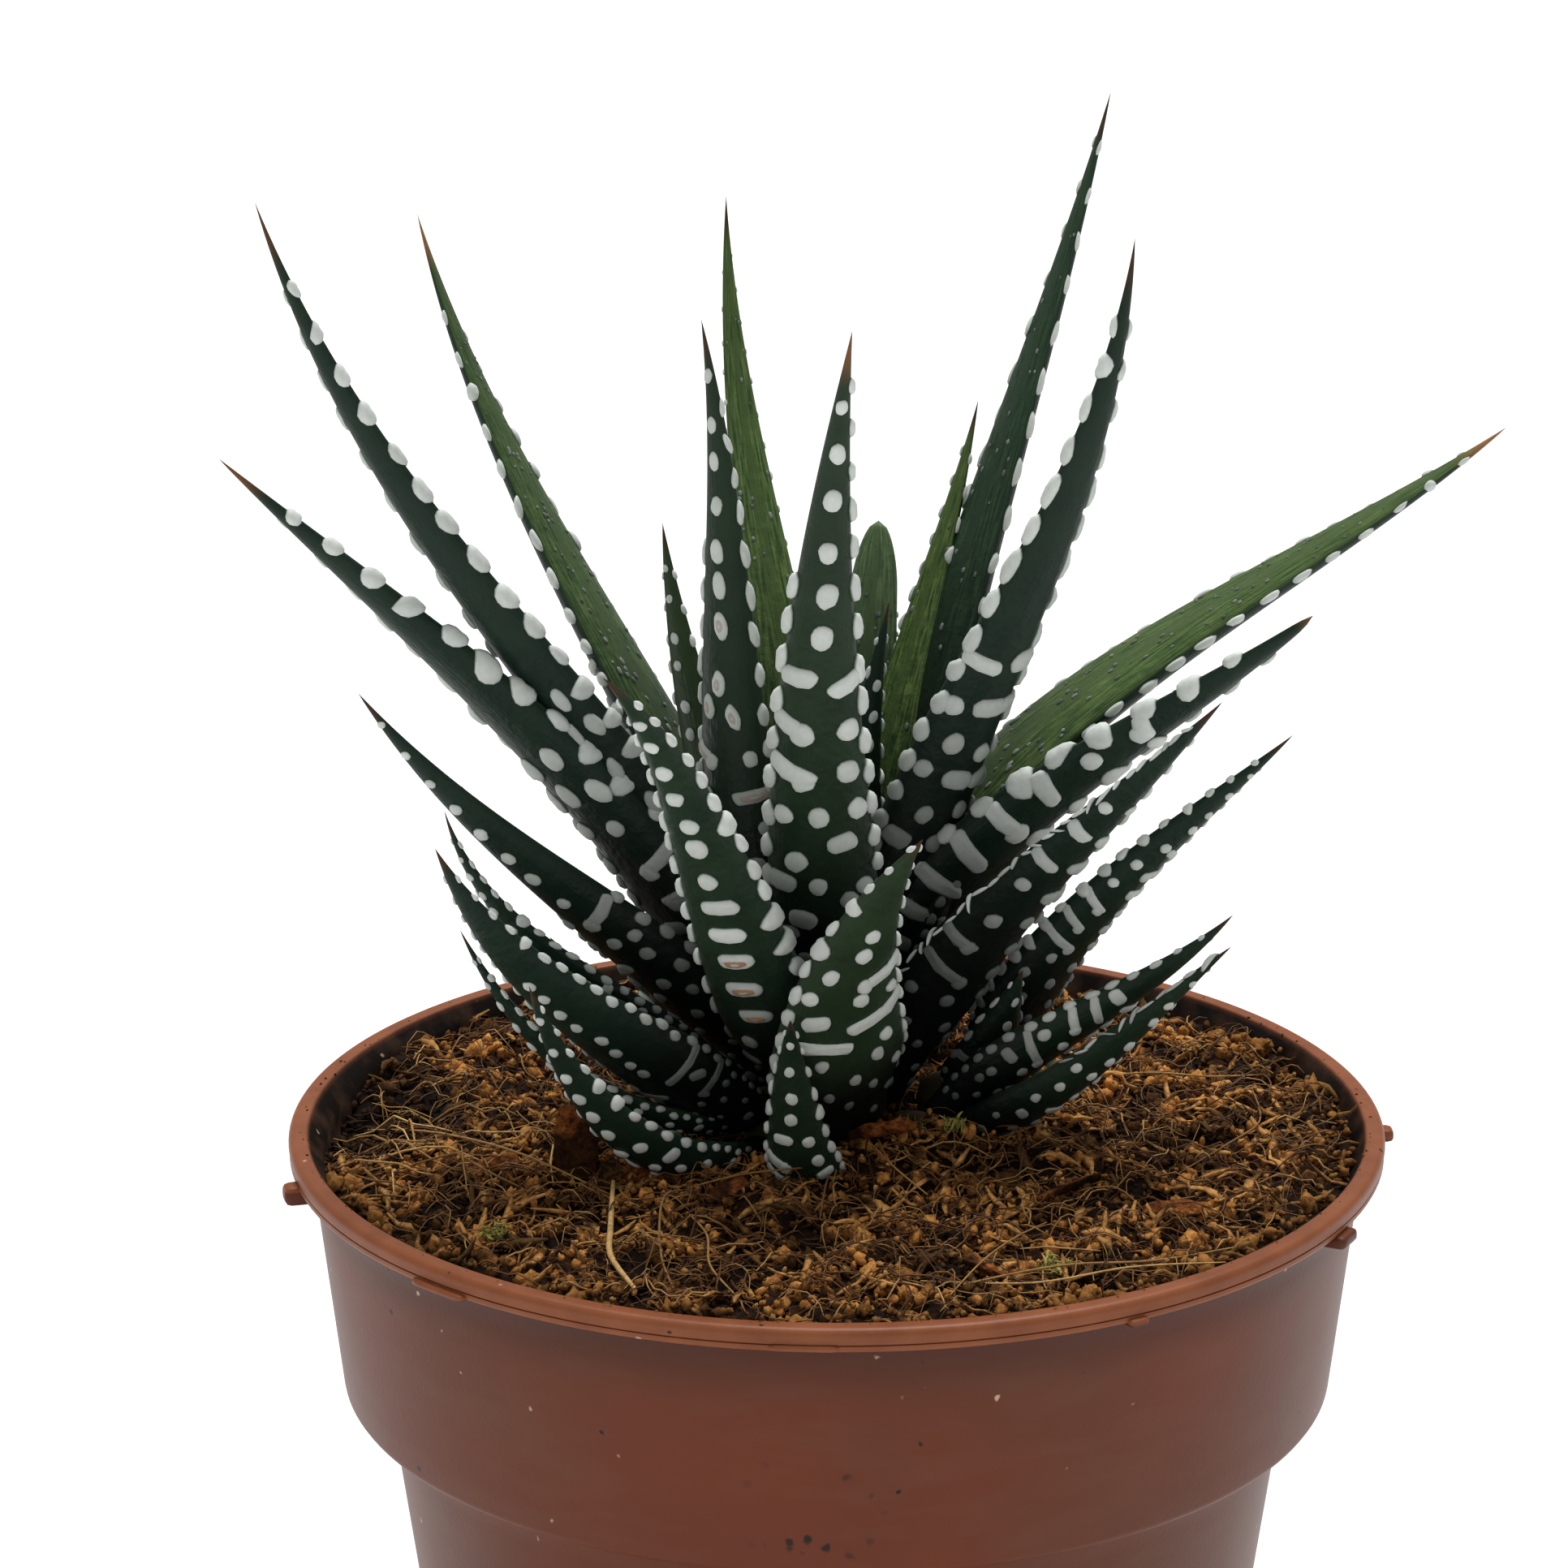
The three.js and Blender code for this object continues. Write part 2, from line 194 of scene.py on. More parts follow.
def pot_profile():
    """The pot's section as (radius, height) pairs: up the outside, over the rim and down the inside."""
    bead = RIM_HEIGHT + RIM_TOP - RIM_BEAD
    collar_top = (COLLAR_TOP_RADIUS, LIP_HEIGHT - 0.2 * MM)
    return [
        (0, 0),
        *arc(BASE_RADIUS - EDGE_ROUND, EDGE_ROUND, EDGE_ROUND, -90, 0, 4),
        *along_wall((BASE_RADIUS, EDGE_ROUND), (BODY_TOP_RADIUS, STEP_HEIGHT), 12),
        (BODY_TOP_RADIUS - 0.03 * MM, STEP_HEIGHT - 0.2 * MM),
        (BODY_TOP_RADIUS + 0.15 * MM, STEP_HEIGHT),
        *arc(COLLAR_FOOT_RADIUS - EDGE_ROUND, STEP_HEIGHT + EDGE_ROUND, EDGE_ROUND, -90, 0, 4),
        *along_wall((COLLAR_FOOT_RADIUS, STEP_HEIGHT + EDGE_ROUND), collar_top, 8),
        collar_top,
        (COLLAR_TOP_RADIUS + 0.15 * MM, LIP_HEIGHT),
        (RIM_RADIUS - 0.4 * MM, LIP_HEIGHT),
        (RIM_RADIUS - 0.14 * MM, LIP_HEIGHT + 0.06 * MM),
        (RIM_RADIUS - 0.06 * MM, LIP_HEIGHT + 0.2 * MM),
        (RIM_RADIUS - 0.08 * MM, GROOVE_HEIGHT - 0.07 * MM),
        (RIM_RADIUS - GROOVE_DEPTH, GROOVE_HEIGHT - 0.03 * MM),
        (RIM_RADIUS - GROOVE_DEPTH, GROOVE_HEIGHT + 0.03 * MM),
        (RIM_RADIUS - 0.05 * MM, GROOVE_HEIGHT + 0.07 * MM),
        *arc(RIM_RADIUS - RIM_BEAD, bead, RIM_BEAD, -5, 90, 6),
        *arc(MOUTH_RADIUS + 0.3 * MM, RIM_HEIGHT + RIM_TOP - 0.3 * MM, 0.3 * MM, 90, 180, 4),
        (COLLAR_TOP_RADIUS - WALL, LIP_HEIGHT),
        (COLLAR_FOOT_RADIUS - WALL, STEP_HEIGHT + WALL),
        (BODY_TOP_RADIUS - WALL, STEP_HEIGHT + WALL),
        (BASE_RADIUS - WALL, POT_FLOOR),
        (0, POT_FLOOR),
    ]


def turned_over(face):
    """A face seen from its other side, from the same first corner."""
    return (face[0], *face[:0:-1])


def ring_mesh(name, rings, sides, downward=False, turn=0):
    """A closed smooth mesh of rings about +Z, whose first and last are poles. A ring is a radius, and a
    height or a rule for the height at a place. Rings run up from the foot, or downward from the top,
    and their corners may be turned on by a part of a side."""
    corners = []
    for number, (radius, height) in enumerate(rings):
        for side in range(sides if 0 < number < len(rings) - 1 else 1):
            angle = 2 * math.pi * (side + turn) / sides
            x, y = radius * math.cos(angle), radius * math.sin(angle)
            corners.append((x, y, height(x, y) if callable(height) else height))
    last = len(corners) - 1
    faces = []
    for side in range(sides):
        after = (side + 1) % sides
        faces.append((0, 1 + after, 1 + side))
        for low in range(1, last - sides, sides):
            high = low + sides
            faces.append((low + side, low + after, high + after, high + side))
        faces.append((last - sides + side, last - sides + after, last))
    mesh = new_mesh(name, corners, [turned_over(face) for face in faces] if downward else faces)
    mesh.polygons.foreach_set("use_smooth", [True] * len(mesh.polygons))
    return mesh


def baked(piece):
    """What the modifiers of a piece make, as a plain smooth mesh with its faces pointing out."""
    mesh = bpy.data.meshes.new_from_object(piece.evaluated_get(bpy.context.evaluated_depsgraph_get()))
    work = bmesh.new()
    work.from_mesh(mesh)
    bmesh.ops.recalc_face_normals(work, faces=work.faces)
    for face in work.faces:
        face.smooth = True
    work.to_mesh(mesh)
    work.free()
    name = piece.name
    bpy.data.objects.remove(piece)
    mesh.name = name
    return add_piece(name, mesh)


def sharpen(mesh, degrees):
    """Keeps the edges sharp where two faces meet at more than an angle."""
    work = bmesh.new()
    work.from_mesh(mesh)
    for edge in work.edges:
        if len(edge.link_faces) == 2 and edge.calc_face_angle() > math.radians(degrees):
            edge.smooth = False
    work.to_mesh(mesh)
    work.free()


def settle(piece, slot, *nodes):
    """The piece rides with the pot and stands for the nodes given. Its slot is not used."""
    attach(piece, "root")
    if nodes:
        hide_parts(*nodes)


def add_node(tree, kind, inputs=None, **settings):
    """Adds a node. Its inputs, by name or number, are values or the sockets that feed them."""
    node = tree.nodes.new(kind)
    for name, value in settings.items():
        setattr(node, name, value)
    for socket, value in (inputs or {}).items():
        if isinstance(value, bpy.types.NodeSocket):
            tree.links.new(value, node.inputs[socket])
        else:
            node.inputs[socket].default_value = value
    return node


def made(tree, kind, inputs=None, **settings):
    """The first thing that a new node puts out."""
    return add_node(tree, kind, inputs, **settings).outputs[0]


def new_tree(name, kind, output, **inputs):
    """An empty node tree with one output, and the sockets of its inputs, named under their kinds."""
    tree = bpy.data.node_groups.new(name, kind)
    tree.interface.new_socket(output[0], in_out="OUTPUT", socket_type=f"NodeSocket{output[1]}")
    for input_kind, names in inputs.items():
        for socket in names:
            tree.interface.new_socket(socket, in_out="INPUT", socket_type=f"NodeSocket{input_kind}")
    return tree, tree.nodes.new("NodeGroupInput").outputs


def dressed(geometry, material):
    """Geometry that is all real and wears a material."""
    tree = geometry.id_data
    real = made(tree, "GeometryNodeRealizeInstances", {0: geometry})
    return made(tree, "GeometryNodeSetMaterial", {"Geometry": real, "Material": material})


def grow(piece, tree, values):
    """Puts a geometry nodes tree on a piece, with its inputs given by name."""
    modifier = piece.modifiers.new(tree.name, "NODES")
    modifier.node_group = tree
    sockets = {item.name: item.identifier for item in tree.interface.items_tree if item.in_out == "INPUT"}
    for name, value in values.items():
        modifier[sockets[name]] = value


def calc(operation, *values, clamp=False):
    """What a math node makes of the values, one of which at least is a socket."""
    tree = next(value.id_data for value in values if isinstance(value, bpy.types.NodeSocket))
    return made(tree, "ShaderNodeMath", dict(enumerate(values)), operation=operation, use_clamp=clamp)


def aim(operation, *vectors, output=0):
    """What a vector math node makes of the vectors, the first of which is a socket."""
    inputs = dict(enumerate(vectors))
    node = add_node(vectors[0].id_data, "ShaderNodeVectorMath", inputs, operation=operation)
    return node.outputs[output]


def scaled(vector, factor):
    """A vector times a number."""
    return made(vector.id_data, "ShaderNodeVectorMath", {0: vector, "Scale": factor}, operation="SCALE")


def ramped(value, low, high, start=0.0, end=1.0, smooth=False):
    """Goes from start to end as the value goes from low to high."""
    limits = {"Value": value, "From Min": low, "From Max": high, "To Min": start, "To Max": end}
    kind = "SMOOTHSTEP" if smooth else "LINEAR"
    return made(value.id_data, "ShaderNodeMapRange", limits, interpolation_type=kind)


def noise_at(place, scale, detail):
    """A soft random pattern over the surface."""
    return made(place.id_data, "ShaderNodeTexNoise", {"Vector": place, "Scale": scale, "Detail": detail})


def object_place(tree):
    """The place of a point of the surface."""
    return add_node(tree, "ShaderNodeTexCoord").outputs["Object"]


def from_axis(place):
    """How far a place is from the pot's axis."""
    return aim("LENGTH", aim("MULTIPLY", place, (1, 1, 0)), output=1)


def blend_colours(mask, first, second):
    """The colour that goes from the first to the second as the mask goes from 0 to 1."""
    inputs = {0: mask, 6: first, 7: second}
    return add_node(mask.id_data, "ShaderNodeMix", inputs, data_type="RGBA").outputs[2]


def dress(shader, colour, relief, strength, depth, rough=None):
    """Gives a shader its colour, its fine relief and, where it varies, its roughness."""
    tree = colour.id_data
    bump = made(tree, "ShaderNodeBump", {"Height": relief, "Strength": strength, "Distance": depth})
    tree.links.new(colour, shader.inputs["Base Color"])
    tree.links.new(bump, shader.inputs["Normal"])
    if rough:
        tree.links.new(rough, shader.inputs["Roughness"])


def specks_group():
    """A mask of small scattered specks over the surface."""
    group, given = new_tree("specks", "ShaderNodeTree", ("Mask", "Float"), Float=("Size", "Rarity", "Reach"))
    place = object_place(group)
    wobble = add_node(group, "ShaderNodeTexNoise", {"Vector": place, "Scale": 1400.0}).outputs["Color"]
    moved = aim("ADD", place, scaled(wobble, 0.0006))
    cells = add_node(group, "ShaderNodeTexVoronoi", {"Vector": moved, "Scale": given["Size"]}).outputs
    near = ramped(cells["Distance"], given["Reach"], 0.0, 0.0, 2.0)
    pick = made(group, "ShaderNodeSeparateColor", {"Color": cells["Color"]})
    mask = calc("MULTIPLY", near, calc("GREATER_THAN", pick, given["Rarity"]), clamp=True)
    add_node(group, "NodeGroupOutput", {"Mask": mask})
    return group


def pot_plastic(name, main, reddish, greyish):
    """Moulded plastic: a blotchy colour, faint flow lines and a soft sheen, painted darker under the rim as
    painted shade and brighter on the rim as painted light, dirty inside, with pale and dark specks and a
    patch of dark pits low on the front."""
    material, shader = new_material(name, roughness=0.42, specular=0.2)
    tree = material.node_tree
    place = object_place(tree)
    broad = noise_at(place, 38, 3)
    colour = blend_colours(ramped(broad, 0.35, 0.68), main, reddish)
    streaky = made(tree, "ShaderNodeMapping", {"Vector": place, "Scale": (120, 120, 420)})
    colour = blend_colours(ramped(noise_at(streaky, 1, 5), 0.45, 0.85, 0, 0.35), colour, greyish)

    height = add_node(tree, "ShaderNodeSeparateXYZ", {0: place}).outputs[2]
    # Painted shade: the collar is painted darker up under the rim, where the rim's shade falls.
    shaded = ramped(height, COLLAR_SHADE_FOOT, LIP_HEIGHT, 0, 0.7, smooth=True)
    colour = blend_colours(shaded, colour, paint(58, 27, 17))
    worn = noise_at(place, 300, 4)
    # Painted light: the rim is painted brighter than the plastic, where the light from above falls on it; the
    # noise only varies it.
    lit_rim_colour = blend_colours(worn, paint(106, 55, 30), paint(150, 88, 54))
    colour = blend_colours(ramped(height, LIP_HEIGHT - 0.05 * MM, LIP_HEIGHT + 0.1 * MM), colour, lit_rim_colour)

    radius = from_axis(place)
    in_mouth = ramped(radius, MOUTH_RADIUS + 0.25 * MM, MOUTH_RADIUS - 0.1 * MM)
    mid_wall = (COLLAR_FOOT_RADIUS - WALL / 2, COLLAR_TOP_RADIUS - WALL / 2)
    past_wall = calc("GREATER_THAN", radius, ramped(height, STEP_HEIGHT, LIP_HEIGHT, *mid_wall))
    outside = calc("MULTIPLY", calc("LESS_THAN", height, LIP_HEIGHT), past_wall)
    upper = calc("GREATER_THAN", height, STEP_HEIGHT)
    dirty = calc("MULTIPLY", calc("SUBTRACT", upper, outside, clamp=True), in_mouth)
    soiled = blend_colours(ramped(worn, 0.45, 0.7), paint(20, 14, 11), paint(74, 52, 40))
    colour = blend_colours(dirty, colour, soiled)

    near_patch = ramped(aim("DISTANCE", place, PIT_PATCH, output=1), 2.5 * MM, 6 * MM, 1.0, 0.0)
    for size, rarity, reach, tint, where in (
        (600, 0.93, 0.16, paint(190, 156, 134), None), (620, 0.94, 0.17, paint(32, 17, 12), None),
        (700, 0.6, 0.3, paint(30, 16, 12), near_patch),
    ):
        marks = made(tree, "ShaderNodeGroup", {
            "Size": size, "Rarity": rarity, "Reach": reach,
        }, node_tree=specks)
        colour = blend_colours(calc("MULTIPLY", marks, where) if where else marks, colour, tint)
    dress(shader, colour, noise_at(place, 2500, 3), 0.25, 0.00008, rough=ramped(broad, 0, 1, 0.34, 0.52))
    return material


def lug_ring_tree():
    """Geometry nodes that put a rounded lug on each point of a ring, facing out, at its stored size."""
    tree, given = new_tree(
        "lug_ring", "GeometryNodeTree", ("Geometry", "Geometry"),
        Geometry=["Geometry"], Int=["Roundness"], Material=["Plastic"],
    )
    block = made(tree, "GeometryNodeMeshCube", {"Size": (1, 1, 1), 1: 4, 2: 5, 3: 3})
    soft = made(tree, "GeometryNodeSubdivisionSurface", {"Mesh": block, "Level": given["Roundness"]})
    place = made(tree, "GeometryNodeInputPosition")
    heading = made(tree, "FunctionNodeAlignRotationToVector", {"Vector": place}, axis="X", pivot_axis="Z")
    size = made(tree, "GeometryNodeInputNamedAttribute", {"Name": "size"}, data_type="FLOAT_VECTOR")
    lugs = made(tree, "GeometryNodeInstanceOnPoints", {
        "Points": given["Geometry"], "Instance": soft, "Rotation": heading, "Scale": size,
    })
    add_node(tree, "NodeGroupOutput", {"Geometry": dressed(lugs, given["Plastic"])})
    return tree


specks = specks_group()
plastic = pot_plastic("pot_plastic", paint(92, 47, 26), paint(106, 47, 23), paint(106, 70, 50))
# Painted light: the lugs wear a lighter copy of the pot's plastic, for the light that catches them under the
# rim.
lug_plastic = pot_plastic("lug_plastic", paint(120, 60, 34), paint(132, 62, 34), paint(146, 92, 64))

pot = add_piece("nursery_pot", ring_mesh("nursery_pot", pot_profile(), POT_SIDES))
drills = bmesh.new()
for hole in range(DRAIN_HOLES):
    angle = (hole + 0.5) / DRAIN_HOLES * 2 * math.pi
    spot = Vector((DRAIN_RING * math.cos(angle), DRAIN_RING * math.sin(angle), 0))
    bmesh.ops.create_cone(
        drills, cap_ends=True, segments=DRAIN_SIDES, radius1=DRAIN_RADIUS, radius2=DRAIN_RADIUS,
        depth=4 * POT_FLOOR, matrix=Matrix.Translation(spot),
    )
drill = add_piece("drills", new_mesh("drills", []))
drills.to_mesh(drill.data)
drills.free()
cut = pot.modifiers.new("drain_holes", "BOOLEAN")
cut.operation = "DIFFERENCE"
cut.object = drill
pot = baked(pot)
bpy.data.objects.remove(drill)
sharpen(pot.data, SHARP_EDGE)
pot.data.materials.clear()
pot.data.materials.append(plastic)
settle(pot, "pot_plastic", "pot")

lug_middles = []
lug_sizes = []
for azimuth, height, width, thick, reach in LUGS:
    angle = math.radians(azimuth)
    middle = (LUG_ROOT + reach) / 2
    lug_middles.append(Vector((middle * math.cos(angle), middle * math.sin(angle), height)) * MM)
    lug_sizes += [(reach - LUG_ROOT) * MM, width * MM, thick * MM]
lugs = add_piece("rim_lugs", new_mesh("rim_lugs", lug_middles))
lugs.data.attributes.new("size", "FLOAT_VECTOR", "POINT").data.foreach_set("vector", lug_sizes)
grow(lugs, lug_ring_tree(), {"Roundness": 1, "Plastic": lug_plastic})
settle(baked(lugs), "pot_plastic")


# ---- The potting mix -----------------------------------------------------------------------------
# Coir and peat pressed into the pot up to just under its rim. It is lumpy, stands a little higher
# round the plant, and has sunk to a hollow at the left side of the wall, painted dark as painted shade.

GAP = 0.3 * MM
SOIL_EDGE = 63 * MM
SOIL_MIDDLE = 62.7 * MM
SOIL_RINGS = 80
SOIL_SIDES = 220
SOIL_REACH = 40 * MM  # radius of the filling's top, at the wall
SOIL_SHOULDER = 56 * MM  # height at which the filling keeps its gap to the wall
FRONT_RISE = 0.4 * MM  # how much fuller the pot is at its front
BACK_DROP = 0.7 * MM  # how much emptier it is at its back
HOLLOW = Vector((-37.8, 4)) * MM
HOLLOW_REACH = Vector((4.6, 9)) * MM
HOLLOW_DEPTH = 2.8 * MM
HOLLOW_SHADE = (7 * MM, 12 * MM)  # from its middle, as far as its painted shade is full and as far as it reaches at all
WALL_SHADE = (35 * MM, 40 * MM)  # from the pot's axis, where the painted shade by the wall starts and is most
SLIT = Vector((-20.8, -4)) * MM  # a dark gap beside an upright scrap of husk
SLIT_REACH = Vector((1.2, 4)) * MM
SLIT_DEPTH = 2.6 * MM
# Clods: (x, y, half width, height) in mm. The last ones are heaped round the small rosettes' feet.
CLODS = (
    (-6.2, -17.6, 2.3, 2.3), (-3.2, -21, 1.8, 1.5), (-9.6, -21.5, 2.2, 1.4), (-10.8, -16, 1.6, 1.2),
    (6.5, -22, 3.2, 1.1), (1.5, -27, 2.0, 1.0), (11, -24, 1.8, 0.9), (-14, -27, 2.2, 1.0),
    (20, -22, 3.0, 1.0), (24, -12, 2.4, 0.9), (-24, -19, 2.6, 0.9), (-31, -6, 2.2, 0.8),
    (2, -8.5, 4.5, 2.0), (7.5, -4.5, 4, 2.6), (14, -7, 4.5, 1.4),
)
# Unevenness of the mix: (height, how many swells in a metre) from broad to fine.
SWELLS = ((0.5 * MM, 140), (0.9 * MM, 330), (0.5 * MM, 800))


def mound(x, y, middle_x, middle_y, reach_x, reach_y):
    """1 at the middle of a mound, falling smoothly to 0 well outside its reach."""
    return math.exp(-(((x - middle_x) / reach_x) ** 2 + ((y - middle_y) / reach_y) ** 2))


def soil_height(x, y):
    """Height of the mix at a place, in metres."""
    share = min(math.hypot(x, y) / SOIL_REACH, 1)
    height = SOIL_MIDDLE + (SOIL_EDGE - SOIL_MIDDLE) * share * share
    height += FRONT_RISE * max(0, -y / SOIL_REACH) ** 2
    height -= BACK_DROP * max(0, y / SOIL_REACH) ** 2
    height -= HOLLOW_DEPTH * mound(x, y, *HOLLOW, *HOLLOW_REACH)
    height -= SLIT_DEPTH * mound(x, y, *SLIT, *SLIT_REACH)
    for clod_x, clod_y, wide, tall in CLODS:
        height += tall * MM * mound(x, y, clod_x * MM, clod_y * MM, wide * MM, wide * 0.7 * MM)
    for swell, frequency in SWELLS:
        height += swell * noise.noise(Vector((x, y, 0)) * frequency)
    return height


def soil_rings():
    """The filling's rings: its lumpy top, then down the inside of the pot to its floor."""
    collar_share = (SOIL_SHOULDER - STEP_HEIGHT) / (LIP_HEIGHT - STEP_HEIGHT)
    collar_radius = COLLAR_FOOT_RADIUS + (COLLAR_TOP_RADIUS - COLLAR_FOOT_RADIUS) * collar_share
    wall = WALL + GAP
    return [
        *[(SOIL_REACH * ring / SOIL_RINGS, soil_height) for ring in range(SOIL_RINGS + 1)],
        (collar_radius - WALL - GAP, SOIL_SHOULDER),
        (COLLAR_FOOT_RADIUS - wall, STEP_HEIGHT + wall),
        (BODY_TOP_RADIUS - wall, STEP_HEIGHT + wall),
        (BASE_RADIUS - wall, POT_FLOOR + GAP),
        (0, POT_FLOOR + GAP),
    ]


def shade_and_damp_group():
    """A mask of where the mix is painted darker: painted shade in the hollow and along the wall, and damp in
    patches.
    """
    group, given = new_tree("damp_places", "ShaderNodeTree", ("Mask", "Float"), Float=["Patches"])
    place = object_place(group)
    # Painted shade: the hollow and the band along the wall are painted dark for the shade in them; the noise
    # patches are damp.
    to_hollow = aim("DISTANCE", place, (HOLLOW.x, HOLLOW.y, SOIL_EDGE), output=1)
    hollow_shade = ramped(to_hollow, *HOLLOW_SHADE, 0.96, 0.0)
    wall_shade = ramped(from_axis(place), *WALL_SHADE, 0.0, 0.6)
    patchy = ramped(noise_at(place, 190, 3), 0.5, 0.57, 0.0, given["Patches"])
    shade_and_damp_mask = calc("MAXIMUM", calc("MAXIMUM", hollow_shade, wall_shade), patchy)
    add_node(group, "NodeGroupOutput", {"Mask": shade_and_damp_mask})
    return group


def stored(tree, name):
    """A number that the mesh holds under a name, as a shader reads it."""
    return add_node(tree, "ShaderNodeAttribute", attribute_name=name).outputs["Fac"]


def three_tones(mask, dark, middle, light, middle_at):
    """A colour from dark through middle to light as the mask goes from 0 to 1."""
    ramp = add_node(mask.id_data, "ShaderNodeValToRGB", {"Fac": mask})
    ramp.color_ramp.elements[0].color = dark
    ramp.color_ramp.elements[1].color = light
    ramp.color_ramp.elements.new(middle_at).color = middle
    return ramp.outputs[0]


def soil_material(name, dark, middle, light, toned):
    """Damp to dry coir: dark gaps, brown flesh and lighter dry crumbs, very rough, with painted shade in the
    hollow and along the wall.
    """
    material, shader = new_material(name, roughness=0.95, specular=0.12)
    tree = material.node_tree
    grain = made(tree, "ShaderNodeTexNoise", {
        "Vector": object_place(tree), "Scale": 1500.0, "Detail": 6.0, "Roughness": 0.7,
    })
    mask = ramped(grain, 0.36, 0.64)
    if toned:
        mask = calc("MULTIPLY_ADD", stored(tree, "tone"), 0.62, calc("MULTIPLY", mask, 0.5), clamp=True)
    # Painted shade in the hollow and along the wall, and damp patches, darken the mix.
    shade_and_damp = made(tree, "ShaderNodeGroup", {"Patches": 0.85}, node_tree=damp_places)
    colour = blend_colours(shade_and_damp, three_tones(mask, dark, middle, light, 0.5), paint(22, 14, 9))
    dress(shader, colour, grain, 0.8, 0.0003)
    return material


damp_places = shade_and_damp_group()
soil = add_piece("potting_mix_bed", ring_mesh("potting_mix_bed", soil_rings(), SOIL_SIDES, downward=True))
soil.data.materials.append(
    soil_material("damp_coir", paint(14, 9, 6), paint(40, 24, 13), paint(74, 45, 22), toned=False))
settle(soil, "potting_mix", "potting_mix")


# ---- Crumbs and shreds of the mix ----------------------------------------------------------------
# Loose coir and peat that cover the bed: crumbs in a coarse and a fine sort, torn shreds of husk in
# between, a few moss tufts, and dirt along the rim. They lie where they fell when the pot was filled.

SHAPES = 4  # of each sort
SHRED_STEPS = 4
# Moss tufts: (x, y, radius) in mm.
MOSS = ((-24.8, -24.5, 1.1), (15.8, -29, 1.5), (5.5, -4.6, 1.5), (8.8, -5.4, 1.1))
RIM_DIRT = (41.0 * MM, 41.6 * MM)  # from the mouth's edge, as far out as dirt lies on the rim
RIM_DIRT_SIDES = 90


def crumb_shape(seed, cuts):
    """A rough lump about 1 unit across."""
    work = bmesh.new()
    bmesh.ops.create_cube(work, size=1)
    bmesh.ops.subdivide_edges(work, edges=work.edges[:], cuts=cuts, use_grid_fill=True)
    for corner in work.verts:
        way = corner.co.normalized()
        swell = 1 + 0.5 * noise.noise(way * 1.6 + Vector((seed * 7.3, 0, 0)))
        swell += 0.55 * noise.noise(way * 3.7 + Vector((0, seed * 5.1, 0)))
        corner.co = way * 0.5 * swell
    mesh = new_mesh("crumb_shape", [])
    work.to_mesh(mesh)
    work.free()
    return mesh


def shred_shape(seed):
    """A torn, slightly bent strip, 1 unit long and thin at its ends."""
    chance = random.Random(seed)
    bend = chance.uniform(-0.22, 0.22)
    corners = []
    for step in range(SHRED_STEPS + 1):
        share = step / SHRED_STEPS
        half = 0.13 * math.sin(math.pi * (0.12 + 0.76 * share)) * chance.uniform(0.6, 1.3)
        middle = (share - 0.5, bend * math.sin(math.pi * share), 0.1 * chance.uniform(-1, 1))
        for way_y, way_z in ((1, 0), (0, 0.6), (-1, 0), (0, -0.6)):
            corners.append((middle[0], middle[1] + way_y * half, middle[2] + way_z * half))
    faces = [(0, 1, 2, 3), tuple(4 * SHRED_STEPS + side for side in (3, 2, 1, 0))]
    for step in range(SHRED_STEPS):
        for side in range(4):
            near, after = 4 * step + side, 4 * step + (side + 1) % 4
            faces.append((near, near + 4, after + 4, after))
    return new_mesh("shred_shape", corners, faces)


def shape_box(name, meshes):
    """A collection of shapes for the scatter to pick from."""
    box = bpy.data.collections.new(name)
    for number, mesh in enumerate(meshes):
        box.objects.link(bpy.data.objects.new(f"{name}_{number}", mesh))
    return box


def drawn(given, kind="FLOAT", **limits):
    """A random value for each thing that a geometry nodes tree makes, drawn with the tree's seed."""
    inputs = {**limits, "Seed": given["Seed"]}
    node = add_node(given["Seed"].id_data, "FunctionNodeRandomValue", inputs, data_type=kind)
    return node.outputs[1 if kind == "FLOAT" else 0]


def kept_as(geometry, name, value, domain="POINT"):
    """Stores a number on geometry under a name."""
    return made(geometry.id_data, "GeometryNodeStoreNamedAttribute", {
        "Geometry": geometry, "Name": name, "Value": value,
    }, data_type="FLOAT", domain=domain)


